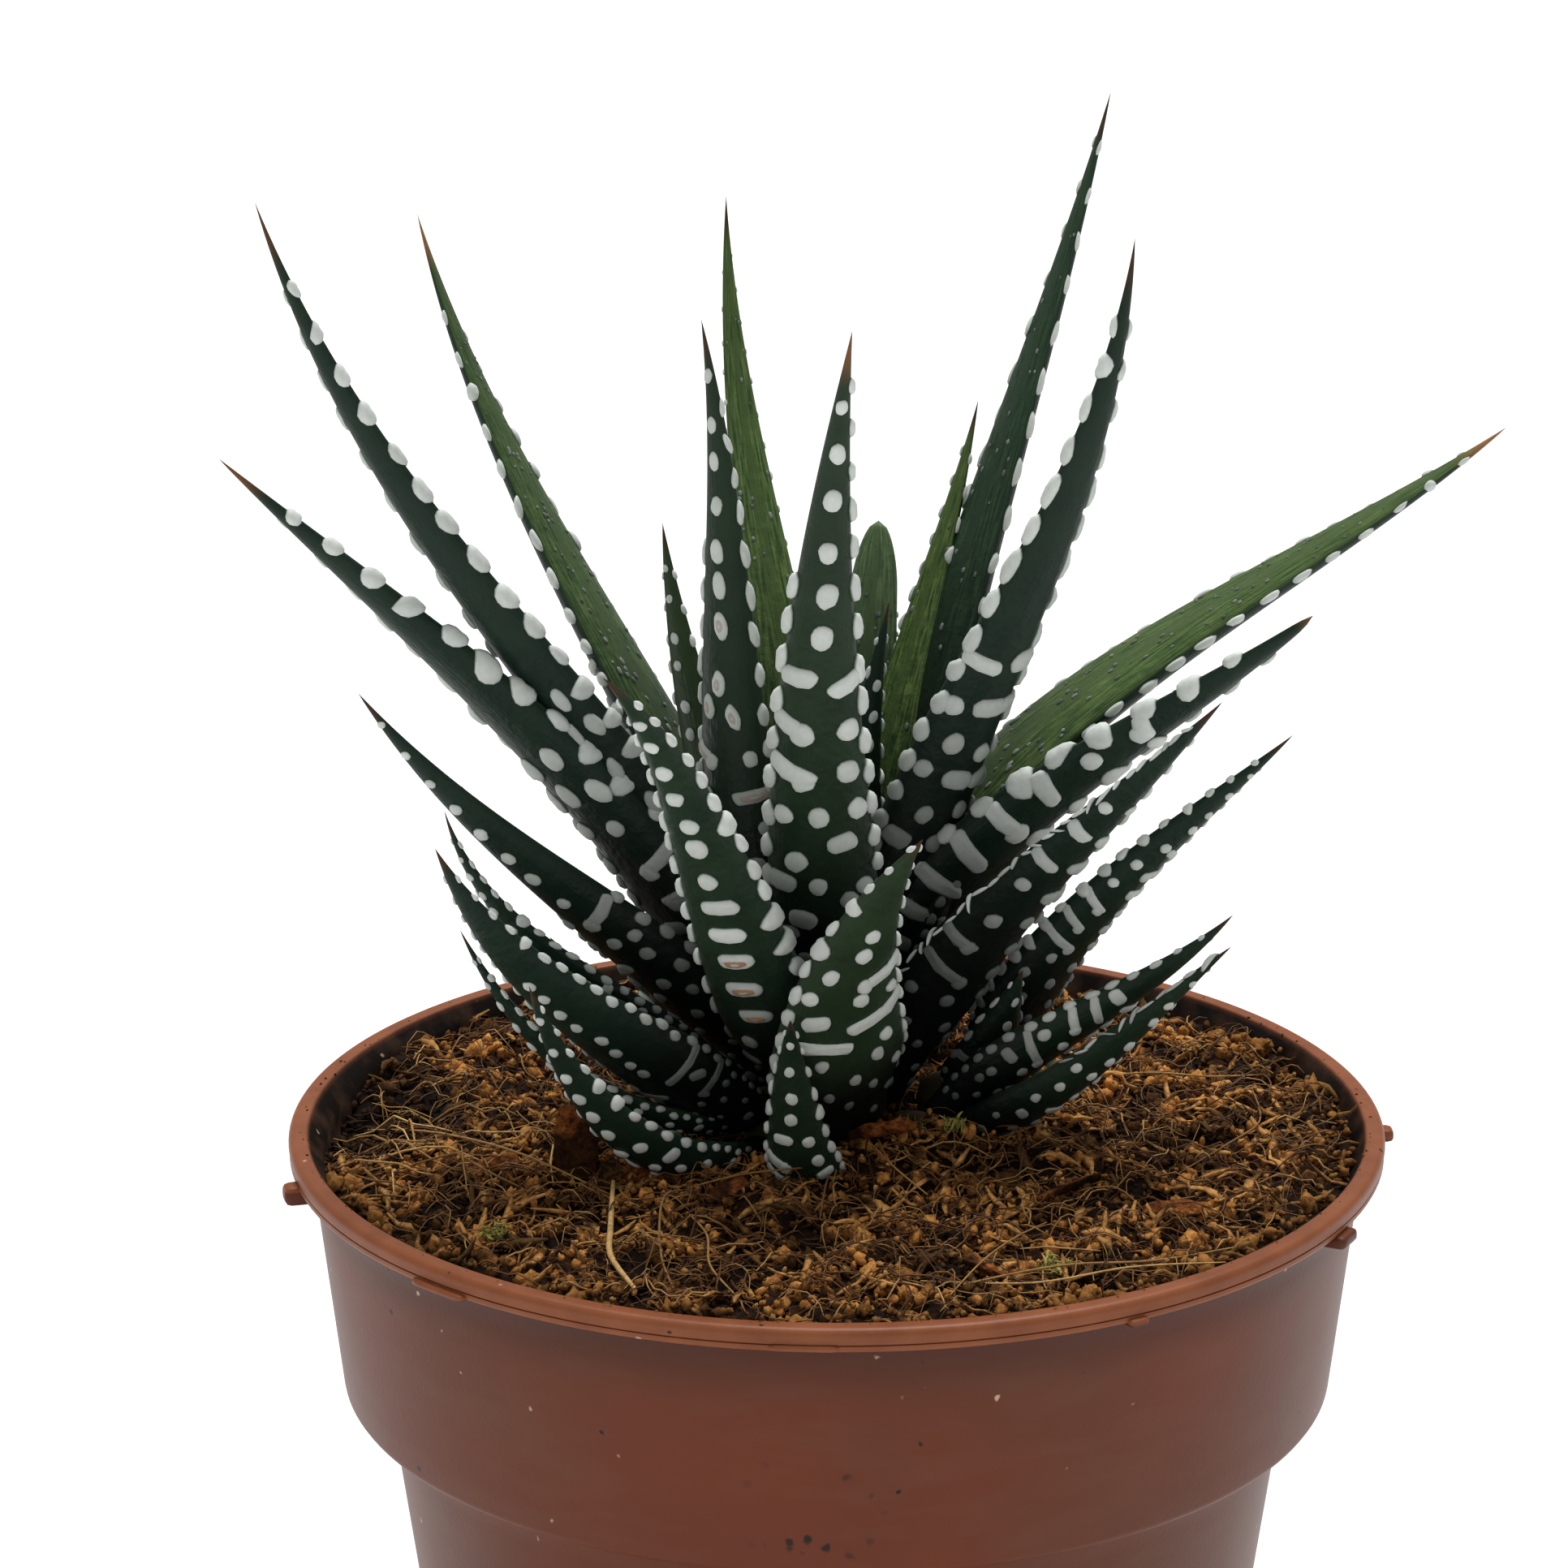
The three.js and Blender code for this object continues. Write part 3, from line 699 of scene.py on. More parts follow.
def scatter_tree():
    """Geometry nodes that scatter shapes over a bed, turned, tilted, lifted and sized at random, each
    with its tone."""
    tree, given = new_tree(
        "scatter", "GeometryNodeTree", ("Geometry", "Geometry"),
        Geometry=["Geometry"], Collection=["Shapes"], Int=["Seed"], Material=["Material"],
        Float=["Density", "Smallest", "Largest", "Tilt", "Lift"],
    )
    spots = made(tree, "GeometryNodeDistributePointsOnFaces", {
        "Mesh": given["Geometry"], "Density": given["Density"], "Seed": given["Seed"],
    })
    rise = made(tree, "ShaderNodeCombineXYZ", {2: drawn(given, Max=given["Lift"])})
    lifted = made(tree, "GeometryNodeSetPosition", {"Geometry": spots, "Offset": rise})
    shapes = made(tree, "GeometryNodeCollectionInfo", {
        "Collection": given["Shapes"], "Separate Children": True, "Reset Children": True,
    })
    tilt = given["Tilt"]
    other_tilt = calc("MULTIPLY", tilt, -1.0)
    least_turn = made(tree, "ShaderNodeCombineXYZ", {0: other_tilt, 1: other_tilt})
    most_turn = made(tree, "ShaderNodeCombineXYZ", {0: tilt, 1: tilt, 2: 2 * math.pi})
    size = ramped(calc("POWER", drawn(given), 2.2), 0.0, 1.0, given["Smallest"], given["Largest"])
    uneven = drawn(given, "FLOAT_VECTOR", Min=(0.75, 0.6, 0.5), Max=(1.3, 1.1, 0.9))
    crumbs = made(tree, "GeometryNodeInstanceOnPoints", {
        "Points": lifted, "Instance": shapes, "Pick Instance": True,
        "Rotation": drawn(given, "FLOAT_VECTOR", Min=least_turn, Max=most_turn),
        "Scale": scaled(uneven, size),
    })
    toned = kept_as(crumbs, "tone", drawn(given), domain="INSTANCE")
    add_node(tree, "NodeGroupOutput", {"Geometry": dressed(toned, given["Material"])})
    return tree


def soil_top(name):
    """The top face of the bed alone, as ground to scatter crumbs on."""
    work = bmesh.new()
    work.from_mesh(soil.data)
    buried = [face for face in work.faces if face.normal.z < 0.3]
    bmesh.ops.delete(work, geom=buried, context="FACES")
    mesh = new_mesh(name, [])
    work.to_mesh(mesh)
    work.free()
    return add_piece(name, mesh)


def moss_beds():
    """A small round bed on the mix for each moss tuft."""
    work = bmesh.new()
    for x, y, radius in MOSS:
        spot = Vector((x * MM, y * MM, soil_height(x * MM, y * MM) + 0.4 * MM))
        bmesh.ops.create_circle(
            work, cap_ends=True, segments=12, radius=radius * MM, matrix=Matrix.Translation(spot))
    mesh = new_mesh("moss_tufts", [])
    work.to_mesh(mesh)
    work.free()
    return add_piece("moss_tufts", mesh)


def rim_ledge():
    """The inner part of the rim's top, as ground for dirt."""
    top = RIM_HEIGHT + RIM_TOP - 0.02 * MM
    corners = []
    for side in range(RIM_DIRT_SIDES):
        angle = 2 * math.pi * side / RIM_DIRT_SIDES
        corners += [(radius * math.cos(angle), radius * math.sin(angle), top) for radius in RIM_DIRT]
    count = len(corners)
    faces = [(i, i + 1, (i + 3) % count, (i + 2) % count) for i in range(0, count, 2)]
    return add_piece("rim_dirt", new_mesh("rim_dirt", corners, faces))


coarse = shape_box("coarse", [crumb_shape(number + 1, cuts=2) for number in range(SHAPES)])
fine = shape_box("fine", [crumb_shape(number + 9, cuts=1) for number in range(SHAPES)])
shred = shape_box("shred", [shred_shape(number + 1) for number in range(SHAPES)])

crumb_finish = soil_material("crumbs", paint(14, 9, 6), paint(112, 68, 32), paint(220, 152, 80), toned=True)
shred_finish = soil_material(
    "husk_shreds", paint(20, 12, 7), paint(126, 80, 40), paint(226, 168, 98), toned=True)
moss_finish = soil_material("moss", paint(76, 78, 30), paint(136, 136, 60), paint(186, 182, 106), toned=True)
scatter = scatter_tree()
# What is scattered: (ground, shapes, how many in a square metre, smallest, largest and lift in mm, tilt
# in radians, seed, finish).
for ground, shapes, density, smallest, largest, lift, tilt, seed, finish in (
    (soil_top("coarse_crumbs"), coarse, 260_000, 0.5, 1.9, 0.3, math.pi, 11, crumb_finish),
    (soil_top("fine_crumbs"), fine, 740_000, 0.35, 1.0, 0.7, math.pi, 12, crumb_finish),
    (soil_top("dust_crumbs"), fine, 740_000, 0.22, 0.6, 0.9, math.pi, 16, shred_finish),
    (soil_top("husk_shreds"), shred, 430_000, 1.0, 3.8, 0.8, 0.7, 13, shred_finish),
    (moss_beds(), shred, 16_000_000, 0.5, 1.4, 0.5, 1.3, 14, moss_finish),
    (rim_ledge(), fine, 900_000, 0.1, 0.34, 0, math.pi, 15, crumb_finish),
):
    grow(ground, scatter, {
        "Shapes": shapes, "Density": density, "Smallest": smallest * MM, "Largest": largest * MM,
        "Tilt": tilt, "Lift": lift * MM, "Seed": seed, "Material": finish,
    })
    settle(baked(ground), "potting_mix")
for box in (coarse, fine, shred):
    for shape in list(box.objects):
        bpy.data.objects.remove(shape)
    bpy.data.collections.remove(box)


# ---- Husk chips ----------------------------------------------------------------------------------
# Torn chips of coconut husk among the coir, flat and leaning, one of them upright beside a dark gap.

CHIP_GRID = (9, 5)
# Chips: (x, y, lift of the middle, length, width, thickness in mm, heading, lean, twist in degrees).
CHIPS = (
    (-19.9, -8.5, 2.2, 7.5, 3.4, 1.1, 88, 74, 6),
    (-14.5, -9.5, 0.9, 6.0, 2.4, 0.6, -25, 8, 15),
    (3.4, -8.2, 1.6, 5.5, 3.0, 0.6, -20, 20, -25),
    (-8.0, -15.5, 1.0, 3.2, 1.6, 0.5, 30, 15, 20),
    (-26.5, -9, 0.8, 5.0, 1.4, 0.4, 25, 6, 30),
    (17.5, -14, 0.8, 5.5, 2.0, 0.5, 35, 8, -25),
    (25, -18, 0.7, 4.5, 1.6, 0.4, -10, 5, 20),
    (11, -30, 0.8, 4.0, 1.8, 0.5, 150, 12, 15),
    (12, 24, 0.8, 6.0, 2.2, 0.5, 60, 8, 20),
    (-14, 26, 0.8, 5.0, 2.0, 0.5, 140, 10, -20),
)


def chip_corners(chip, number):
    """The corners of a curled chip with a ragged outline, in an upper and a lower layer."""
    x, y, lift, length, width, thick, heading, lean, twist = chip
    chance = random.Random(f"chip {number}")
    turn = Matrix.Rotation(math.radians(heading), 3, "Z") @ Matrix.Rotation(math.radians(-lean), 3, "Y")
    turn = turn @ Matrix.Rotation(math.radians(twist), 3, "X")
    middle = Vector((x * MM, y * MM, soil_height(x * MM, y * MM) + lift * MM))
    long_count, wide_count = CHIP_GRID
    corners = []
    for layer in (1, -1):
        for i in range(long_count):
            share = i / (long_count - 1)
            half = width / 2 * (0.55 + 0.45 * math.sin(math.pi * (0.1 + 0.8 * share)))
            ragged = chance.uniform(-0.12, 0.12)
            for j in range(wide_count):
                across = 2 * j / (wide_count - 1) - 1
                edge = 0.25 + 0.75 * (1 - across * across)
                place = Vector(((share - 0.5 + 0.03 * ragged * across) * length, half * (across + ragged), 0))
                curl = 0.18 * width * across * across - 0.1 * length * (share - 0.5) ** 2
                lumps = 0.2 * noise.noise(place * 0.9 + Vector((number * 3, 0, 0)))
                place.z = curl + layer * thick / 2 * edge + lumps
                corners.append(middle + turn @ place * MM)
    return corners


def chip_faces(first):
    """The faces of a chip whose corners start at a number: its two layers and the edge between them."""
    long_count, wide_count = CHIP_GRID
    layer = long_count * wide_count
    faces = []
    for i in range(long_count - 1):
        for j in range(wide_count - 1):
            here = first + i * wide_count + j
            face = (here, here + wide_count, here + wide_count + 1, here + 1)
            faces += [face, turned_over([corner + layer for corner in face])]
    edge = [i * wide_count for i in range(long_count)]
    edge += [(long_count - 1) * wide_count + j for j in range(1, wide_count)]
    edge += [i * wide_count + wide_count - 1 for i in range(long_count - 2, -1, -1)]
    edge += [j for j in range(wide_count - 2, 0, -1)]
    for number, corner in enumerate(edge):
        after = edge[(number + 1) % len(edge)]
        faces.append((first + corner, first + corner + layer, first + after + layer, first + after))
    return faces


chip_points = []
chip_sides = []
for number, chip in enumerate(CHIPS):
    chip_sides += chip_faces(len(chip_points))
    chip_points += chip_corners(chip, number)
chips = add_piece("husk_chips", new_mesh("husk_chips", chip_points, chip_sides))
chips.data.materials.append(
    soil_material("husk", paint(58, 28, 13), paint(128, 72, 34), paint(172, 108, 56), toned=False))
settle(baked(chips), "potting_mix")


# ---- Fibres of the mix ---------------------------------------------------------------------------
# Coir fibres and scraps of straw: short thin threads that lie on the crumbs in every direction, a fan
# of straight pale ones at the left, and a few longer ones that stand out.

FIBRES = 2300
FIBRE_STEPS = 6
FEWEST_POINTS = 4  # a fibre with fewer inside the pot is left out
LONG_STEPS = 6  # from one point of a long fibre to the next
FIBRE_REACH = 39.4 * MM  # how far from the pot's axis fibres lie
FIBRE_LENGTH = (1.6 * MM, 6.5 * MM)
FAN_FIBRES = 34
FAN_MIDDLE = Vector((-27.5, -8)) * MM
FAN_SPREAD = Vector((5, 6)) * MM
FAN_LENGTH = (6 * MM, 13 * MM)
# The longest pieces: (radius, height over the mix at each point, points) in mm.
LONG_FIBRES = (
    (0.24, (2.2, 1.9, 1.5, 1.0), ((-16.7, -14.5), (-16.5, -23), (-16.2, -28.5), (-14.2, -34.5))),
    (0.10, (1.2, 2.2, 1.6, 1.4, 1.0),
     ((-10.5, -13.5), (-12.6, -18.5), (-12.9, -24), (-12.4, -30), (-11.5, -34))),
    (0.09, (1.0, 1.8, 1.6, 0.8), ((-11.0, -20), (-9.4, -25), (-9.0, -31), (-7.2, -35.5))),
    (0.10, (1.0, 1.9, 2.0, 1.0), ((-37, 4), (-31, -3), (-24, -10), (-17, -14))),
    (0.08, (1.0, 1.6, 1.4, 0.8), ((8, -36), (10.5, -30), (13, -25), (15.5, -21))),
    (0.10, (0.9, 1.3, 1.2, 0.8), ((9, -34), (16, -31), (23, -28.5), (30, -25))),
    (0.08, (0.8, 1.5, 1.5, 0.8), ((6, -33), (14, -33.5), (21, -31.5), (28, -29))),
    (0.08, (1.0, 2.4, 1.5), ((2.5, -9), (4.5, -14), (6.8, -17.5))),
    (0.08, (1.2, 2.2, 1.2), ((-0.5, -11.5), (-0.8, -17), (-1.2, -21.5))),
    (0.08, (1.6, 2.0, 1.0), ((-2.5, -12.5), (-7.0, -14.5), (-11, -15.5))),
    (0.08, (0.9, 1.7, 1.4, 0.8), ((26, -10), (30, -6), (33, 0), (33, 7))),
    (0.08, (0.9, 1.9, 1.4, 0.8), ((20, 12), (25, 9), (30, 9.5), (35, 13))),
)


def fibre_path(x, y, heading, length, curl, wander, arch, chance):
    """A path over the mix from a place, in metres, that bends a little at each step."""
    points = []
    for step in range(FIBRE_STEPS + 1):
        if math.hypot(x, y) > FIBRE_REACH:
            break
        lift = 0.6 * MM + arch * math.sin(math.pi * step / FIBRE_STEPS)
        points.append(Vector((x, y, soil_height(x, y) + lift)))
        heading += curl + chance.gauss(0, wander)
        x += length / FIBRE_STEPS * math.cos(heading)
        y += length / FIBRE_STEPS * math.sin(heading)
    return points


def loose_fibre(chance):
    """A short fibre that lies anywhere on the mix."""
    angle = chance.uniform(0, 2 * math.pi)
    reach = FIBRE_REACH * math.sqrt(chance.uniform(0.02, 0.97))
    return fibre_path(
        reach * math.cos(angle), reach * math.sin(angle), chance.uniform(0, 2 * math.pi),
        chance.uniform(*FIBRE_LENGTH), chance.gauss(0, 0.16), 0.2, chance.uniform(0, 1.1) * MM, chance,
    )


def fan_fibre(chance):
    """A straight pale fibre of the fan, which spreads to the left and the back."""
    start = Vector((chance.gauss(FAN_MIDDLE.x, FAN_SPREAD.x), chance.gauss(FAN_MIDDLE.y, FAN_SPREAD.y)))
    return fibre_path(
        start.x, start.y, math.radians(chance.uniform(95, 215)),
        chance.uniform(*FAN_LENGTH), chance.gauss(0, 0.02), 0.04, chance.uniform(0.5, 1.8) * MM, chance,
    )


def smoothed(points, heights):
    """A long fibre's path through its points, each a height over the mix, as many short steps."""
    spots = [Vector((x, y, 0)) * MM for x, y in points]
    for spot, height in zip(spots, heights):
        spot.z = soil_height(spot.x, spot.y) + height * MM
    path = []
    for before, start, end, after in zip([spots[0], *spots], spots, spots[1:], [*spots[2:], spots[-1]]):
        for step in range(LONG_STEPS):
            share = step / LONG_STEPS
            path.append(0.5 * (
                2 * start + (end - before) * share
                + (2 * before - 5 * start + 4 * end - after) * share ** 2
                + (3 * start - before - 3 * end + after) * share ** 3
            ))
    return [*path, spots[-1]]


def add_thread(curve, points, radius):
    """One thread through the points, thinned at both ends."""
    thread = curve.splines.new("POLY")
    thread.points.add(len(points) - 1)
    for number, point in enumerate(points):
        thread.points[number].co = (*point, 1)
        taper = math.sin(math.pi * (0.12 + 0.76 * number / (len(points) - 1))) ** 0.5
        thread.points[number].radius = radius * taper


def thread_tree():
    """Geometry nodes that sweep a round section along each thread, each with its tone."""
    tree, given = new_tree(
        "threads", "GeometryNodeTree", ("Geometry", "Geometry"),
        Geometry=["Geometry"], Int=["Sides", "Seed"], Material=["Material"],
    )
    tubes = made(tree, "GeometryNodeCurveToMesh", {
        "Curve": kept_as(given["Geometry"], "tone", drawn(given), domain="CURVE"),
        "Profile Curve": made(tree, "GeometryNodeCurvePrimitiveCircle", {
            "Resolution": given["Sides"], "Radius": 1.0,
        }),
        "Scale": made(tree, "GeometryNodeInputRadius"),
        "Fill Caps": True,
    })
    add_node(tree, "NodeGroupOutput", {"Geometry": dressed(tubes, given["Material"])})
    return tree


def fibre_material(name, dark, middle, pale):
    """Dry plant fibre, from dark to pale."""
    material, shader = new_material(name, roughness=0.7, specular=0.3)
    tree = material.node_tree
    colour = three_tones(stored(tree, "tone"), dark, middle, pale, 0.6)
    grain = noise_at(object_place(tree), 1800, 3)
    colour = blend_colours(ramped(grain, 0.45, 0.7, 0.0, 0.5), colour, paint(85, 52, 26))
    dress(shader, colour, grain, 0.4, 0.0001)
    return material


fibre_curve = bpy.data.curves.new("fibres", "CURVE")
straw_curve = bpy.data.curves.new("straw", "CURVE")
fibre_chance = random.Random(21)
for curve, count, one_fibre, thickness in (
    (fibre_curve, FIBRES, loose_fibre, (0.03, 0.085)), (straw_curve, FAN_FIBRES, fan_fibre, (0.06, 0.1)),
):
    curve.dimensions = "3D"
    for number in range(count):
        path = one_fibre(fibre_chance)
        if len(path) >= FEWEST_POINTS:
            add_thread(curve, path, fibre_chance.uniform(*thickness) * MM)
for radius, heights, points in LONG_FIBRES:
    add_thread(straw_curve, smoothed(points, heights), radius * MM)

threads = thread_tree()
fibre_finish = fibre_material("coir_fibre", paint(50, 29, 14), paint(112, 72, 34), paint(196, 152, 92))
straw_finish = fibre_material("straw", paint(120, 84, 44), paint(176, 134, 76), paint(214, 176, 112))
for name, curve, sides, seed, finish in (
    ("coir_fibres", fibre_curve, 4, 3, fibre_finish), ("straw_pieces", straw_curve, 7, 8, straw_finish),
):
    fibres = add_piece(name, curve)
    grow(fibres, threads, {"Sides": sides, "Seed": seed, "Material": finish})
    settle(baked(fibres), "potting_mix")


# ---- The stems -----------------------------------------------------------------------------------
# Short fleshy stems, ringed by the scars of old leaves, that carry the leaves of each rosette. They
# stand in the mix and hardly show between the leaf bases.

GROUND = 62.5 * MM
STEM_BURIED = 9 * MM
STEM_TAPER = 3 * MM
STEM_FOOT = 0.6  # radius of the narrowed foot, as a part of the stem's
STEM_SCAR = 0.04  # how far the rings cut in, as a part of the stem's radius
CROWN_DOME = 0.6  # height of the domed crown, as a part of the stem's radius
STEM_RINGS = 22
STEM_SIDES = 28


def stem_mesh(name, rosette):
    """A ringed column with a narrowed foot and a domed crown."""
    radius, crown = rosette["radius"] * MM, rosette["crown"] * MM
    foot, top = GROUND - STEM_BURIED, GROUND + crown
    dome = radius * CROWN_DOME
    profile = [(0, foot), (radius * STEM_FOOT, foot)]
    for ring in range(STEM_RINGS + 1):
        height = foot + STEM_TAPER * 0.5 + (top - dome - foot - STEM_TAPER * 0.5) * ring / STEM_RINGS
        narrow = min(1, STEM_FOOT + (1 - STEM_FOOT) * (height - foot) / STEM_TAPER)
        scar = 1 - STEM_SCAR * (1 + math.sin(2.1 * ring))
        profile.append((radius * narrow * scar, height))
    for degrees in (25, 50, 72):
        angle = math.radians(degrees)
        profile.append((radius * 0.96 * math.cos(angle), top - dome * (1 - math.sin(angle))))
    mesh = ring_mesh(name, [*profile, (0, top)], STEM_SIDES)
    for corner in mesh.vertices:
        lumps = 0.05 * noise.noise(corner.co * 700)
        corner.co.x *= 1 + lumps
        corner.co.y *= 1 + lumps
    mesh.transform(Matrix.Translation(Vector((rosette["x"], rosette["y"], 0)) * MM))
    return mesh


def stem_material():
    """Dull green-brown flesh with dry brown rings."""
    material, shader = new_material("stem_flesh", roughness=0.75, specular=0.2)
    tree = material.node_tree
    rings = add_node(tree, "ShaderNodeTexWave", {
        "Vector": object_place(tree), "Scale": 220.0, "Distortion": 2.0, "Detail": 2.0,
    }, bands_direction="Z").outputs["Fac"]
    dress(shader, blend_colours(rings, paint(48, 56, 30), paint(70, 52, 32)), rings, 0.5, 0.0002)
    return material


# Each rosette: the place of its stem, the stem's radius and crown, and its leaves' rows, in mm and
# degrees: root, azimuth, rise, reach, top, ends, sway, roll, width, depth, and for a leaf with a
# broken tip the part of its length that is left.
ROSETTES = {
    "main": {"x": 0, "y": 4, "radius": 3.6, "crown": 10, "leaves": [
        (2, 170, 45, 23, 14, 48, 0, 20, 6.5, 3),
        (2.5, -175, 50, 20, 19, 60, 0, 20, 6.5, 3),
        (3, 88, 50, 29, 17, 42, 0, 0, 7, 3.2),
        (3.5, -41, 63, 36.5, 41, 46, 0, -25, 8, 3.2),
        (4, -150, 51, 40, 40.5, 54, 0, 35, 7.4, 3),
        (4, 62, 58, 25, 22, 48, 0, 0, 7, 3.2),
        (4, 116, 58, 26, 21, 48, 0, 0, 7, 3.2),
        (5.5, 93, 66, 27, 36, 60, 0, 0, 7.5, 3.2),
        (5.5, 55, 64, 25, 36, 58, 0, 0, 7, 3.2),
        (5, -114, 36, 39.5, 46, 33, 0.5, 8, 8.4, 3.6),
        (5, -160, 66, 47.5, 57, 44, 0, 30, 9.4, 3.8),
        (5, -20, 92, 39, 46, 42, 0.5, -35, 9.5, 3.4, 0.96),
        (5.5, 136, 62, 24, 33, 62, 0, 0, 7, 3.2),
        (5.5, 22, 62, 23, 24, 52, 0, 0, 6.5, 3),
        (6, -6, 93, 50, 57, 39, 1.5, 17, 11.5, 4),
        (7, -156, 67, 45, 76, 72, 0, 30, 7.2, 3),
        (8, -88, 67, 30, 69, 66, -2.5, 0, 8.4, 3.4),
        (8, 154, 68, 36.5, 69.5, 73, 0, 5, 9, 3),
        (8, -37, 87, 26.5, 73, 84, 0, -20, 8, 3.2),
        (8, 37, 84, 26.5, 79, 72, 0, -5, 8, 3),
        (9, -135, 63, 14, 66, 74, -1, 10, 7.4, 3),
        (9, 112, 92, 23.5, 70, 87, 0.5, 0, 6.4, 2.6),
        (9, 48, 93, 16.5, 55.5, 76, 1, 0, 6, 2.6),
        (9.5, 73, 76, 18.4, 68.4, 74, 0.5, 0, 5.6, 2.4, 0.62),
        (9.5, 171, 72, 13.5, 48, 83, 0.5, 60, 6.8, 2.6),
        (10, -27, 104, 4.5, 43, 79, -0.5, -40, 5, 2.2),
    ]},
    "front": {"x": -0.5, "y": -4.2, "radius": 2.2, "crown": 5, "leaves": [
        (0.3, -102, 4, 13.8, 16.1, 46, -1, 5, 5.6, 2.6),
        (4.5, -80, 80, 4.6, 18, 86, 0, 0, 5, 2.2),
        (4, -68, 68, 18, 31, 49, -3, 5, 11, 3.8),
    ]},
    "left": {"x": -5, "y": -2, "radius": 2.2, "crown": 5, "leaves": [
        (1, -134, -2, 25, 19.5, 67, -0.5, 25, 5.6, 2.8),
        (3, -161, 0, 24.5, 20.5, 65, 0.5, 20, 4.2, 2),
        (3.5, -143, 40, 30, 30, 63, -0.5, 35, 8, 3.2),
        (4, -157, 55, 26, 30.5, 75, 0, 30, 4.6, 2),
    ]},
    "right": {"x": 6, "y": -1, "radius": 2.2, "crown": 2.6, "leaves": [
        (1.5, -19, 20, 25, 19, 42, 0, -35, 5.4, 2.4),
        (3, -12, 49, 24.5, 20.5, 46, 0, -40, 6, 2.8),
    ]},
    "side": {"x": 8.5, "y": 4, "radius": 2.2, "crown": 4, "leaves": [
        (2.5, -17, 74, 27, 34, 44, 0, -40, 6.6, 2.8),
        (3, -50, 62, 9, 15, 62, 0, -15, 6, 2.8),
    ]},
    "back": {"x": 3, "y": 14, "radius": 2.2, "crown": 4, "leaves": [
        (1.5, 35, 48, 14, 11, 50, 0, 0, 5, 2.4),
        (2, 100, 45, 16, 9, 35, 0, 0, 5, 2.4),
        (1.5, 155, 48, 13, 11, 50, 0, 0, 5, 2.4),
    ]},
}

stem_finish = stem_material()
for place, rosette in ROSETTES.items():
    stem = add_piece(f"{place}_stem_flesh", stem_mesh(f"{place}_stem_flesh", rosette))
    stem.data.materials.append(stem_finish)
    settle(stem, "stem_flesh", f"{place}_stem")


# ---- The leaves ----------------------------------------------------------------------------------
# Firm, pointed, three-sided leaves that taper all the way: rounded and dark green outside, flatter and
# greener inside, with a dry tip. Raised white dots stand in a row on each margin and along the back,
# and run together into short bands across the lower half.

BELLY = 0.22  # part of a leaf's length at which it is widest
ROOT_SHARE = 0.7  # width at the root, as a part of the greatest
TAPER_POWER = 1.25
THIN_POWER = 0.8
BACK_SHARE = 0.72  # of the thickness, on the outer side
FACE_SHARE = 0.28
HANDLE = 0.36  # how far the line keeps its slope at either end, by the distance from root to tip
LEAF_ROWS = 70
LEAF_SIDES = 28
DOT_SIDES = 14
UNEVEN = 0.42  # how far a dot's outline strays from an even one
LOWEST_DOT = 0.04  # part of a leaf's length
BUMP_ROWS = (-46, -27, -9, 9, 27, 46)  # degrees round the section from the middle of the inner face

# How a leaf's dots and colour differ from the usual one. Parts of the length run from 0 at the root
# to 1 at the tip.
#   size    half width of a usual dot, mm           pitch   distance between rows of dots, mm
#   long    length of the upper dots by their width  edges   highest part with dots, on either margin
#   keel    highest part with dots along the back   bands   lowest and highest part with bands
#   banded  how many of the rows there are bands    lean    the side to which most bands run, or 0
#   single  above this part there is one keel dot in a row
#   crowd   how much closer the lowest rows stand
#   ring    keel dots below this part are scarred   scar    how brown their scars are
#   crest   0, or the lowest part with a thin pale crest on its right margin, seen from its root
#   turned  degrees by which both rows of margin dots stand nearer to its left
#   dim     the part below which its skin and dots are ever darker: painted shade at the foot of the clump
#   fresh   how green its outer face is             pale    how pale and grey-green all of it is
#   green   how light and green its inner face is   bumps   small green bumps on the inner face, per mm
#   dry     how dry and tan its tip is              blunt   the part of its length that rounds a blunt tip
USUAL = dict(
    size=0.85, pitch=3.8, long=1.4, edges=(0.93, 0.93), keel=0.6, bands=(0.24, 0.5), banded=0.75, lean=1,
    single=0.5, crowd=0.4, ring=0, scar=0.8, crest=0, turned=0, dim=0.52, fresh=0.12, pale=0, green=0.35,
    bumps=0.5, dry=0.15, blunt=0.004,
)
BACK_LOOKS = dict(size=0.45, pitch=2.0, keel=0.9, dim=0.3)
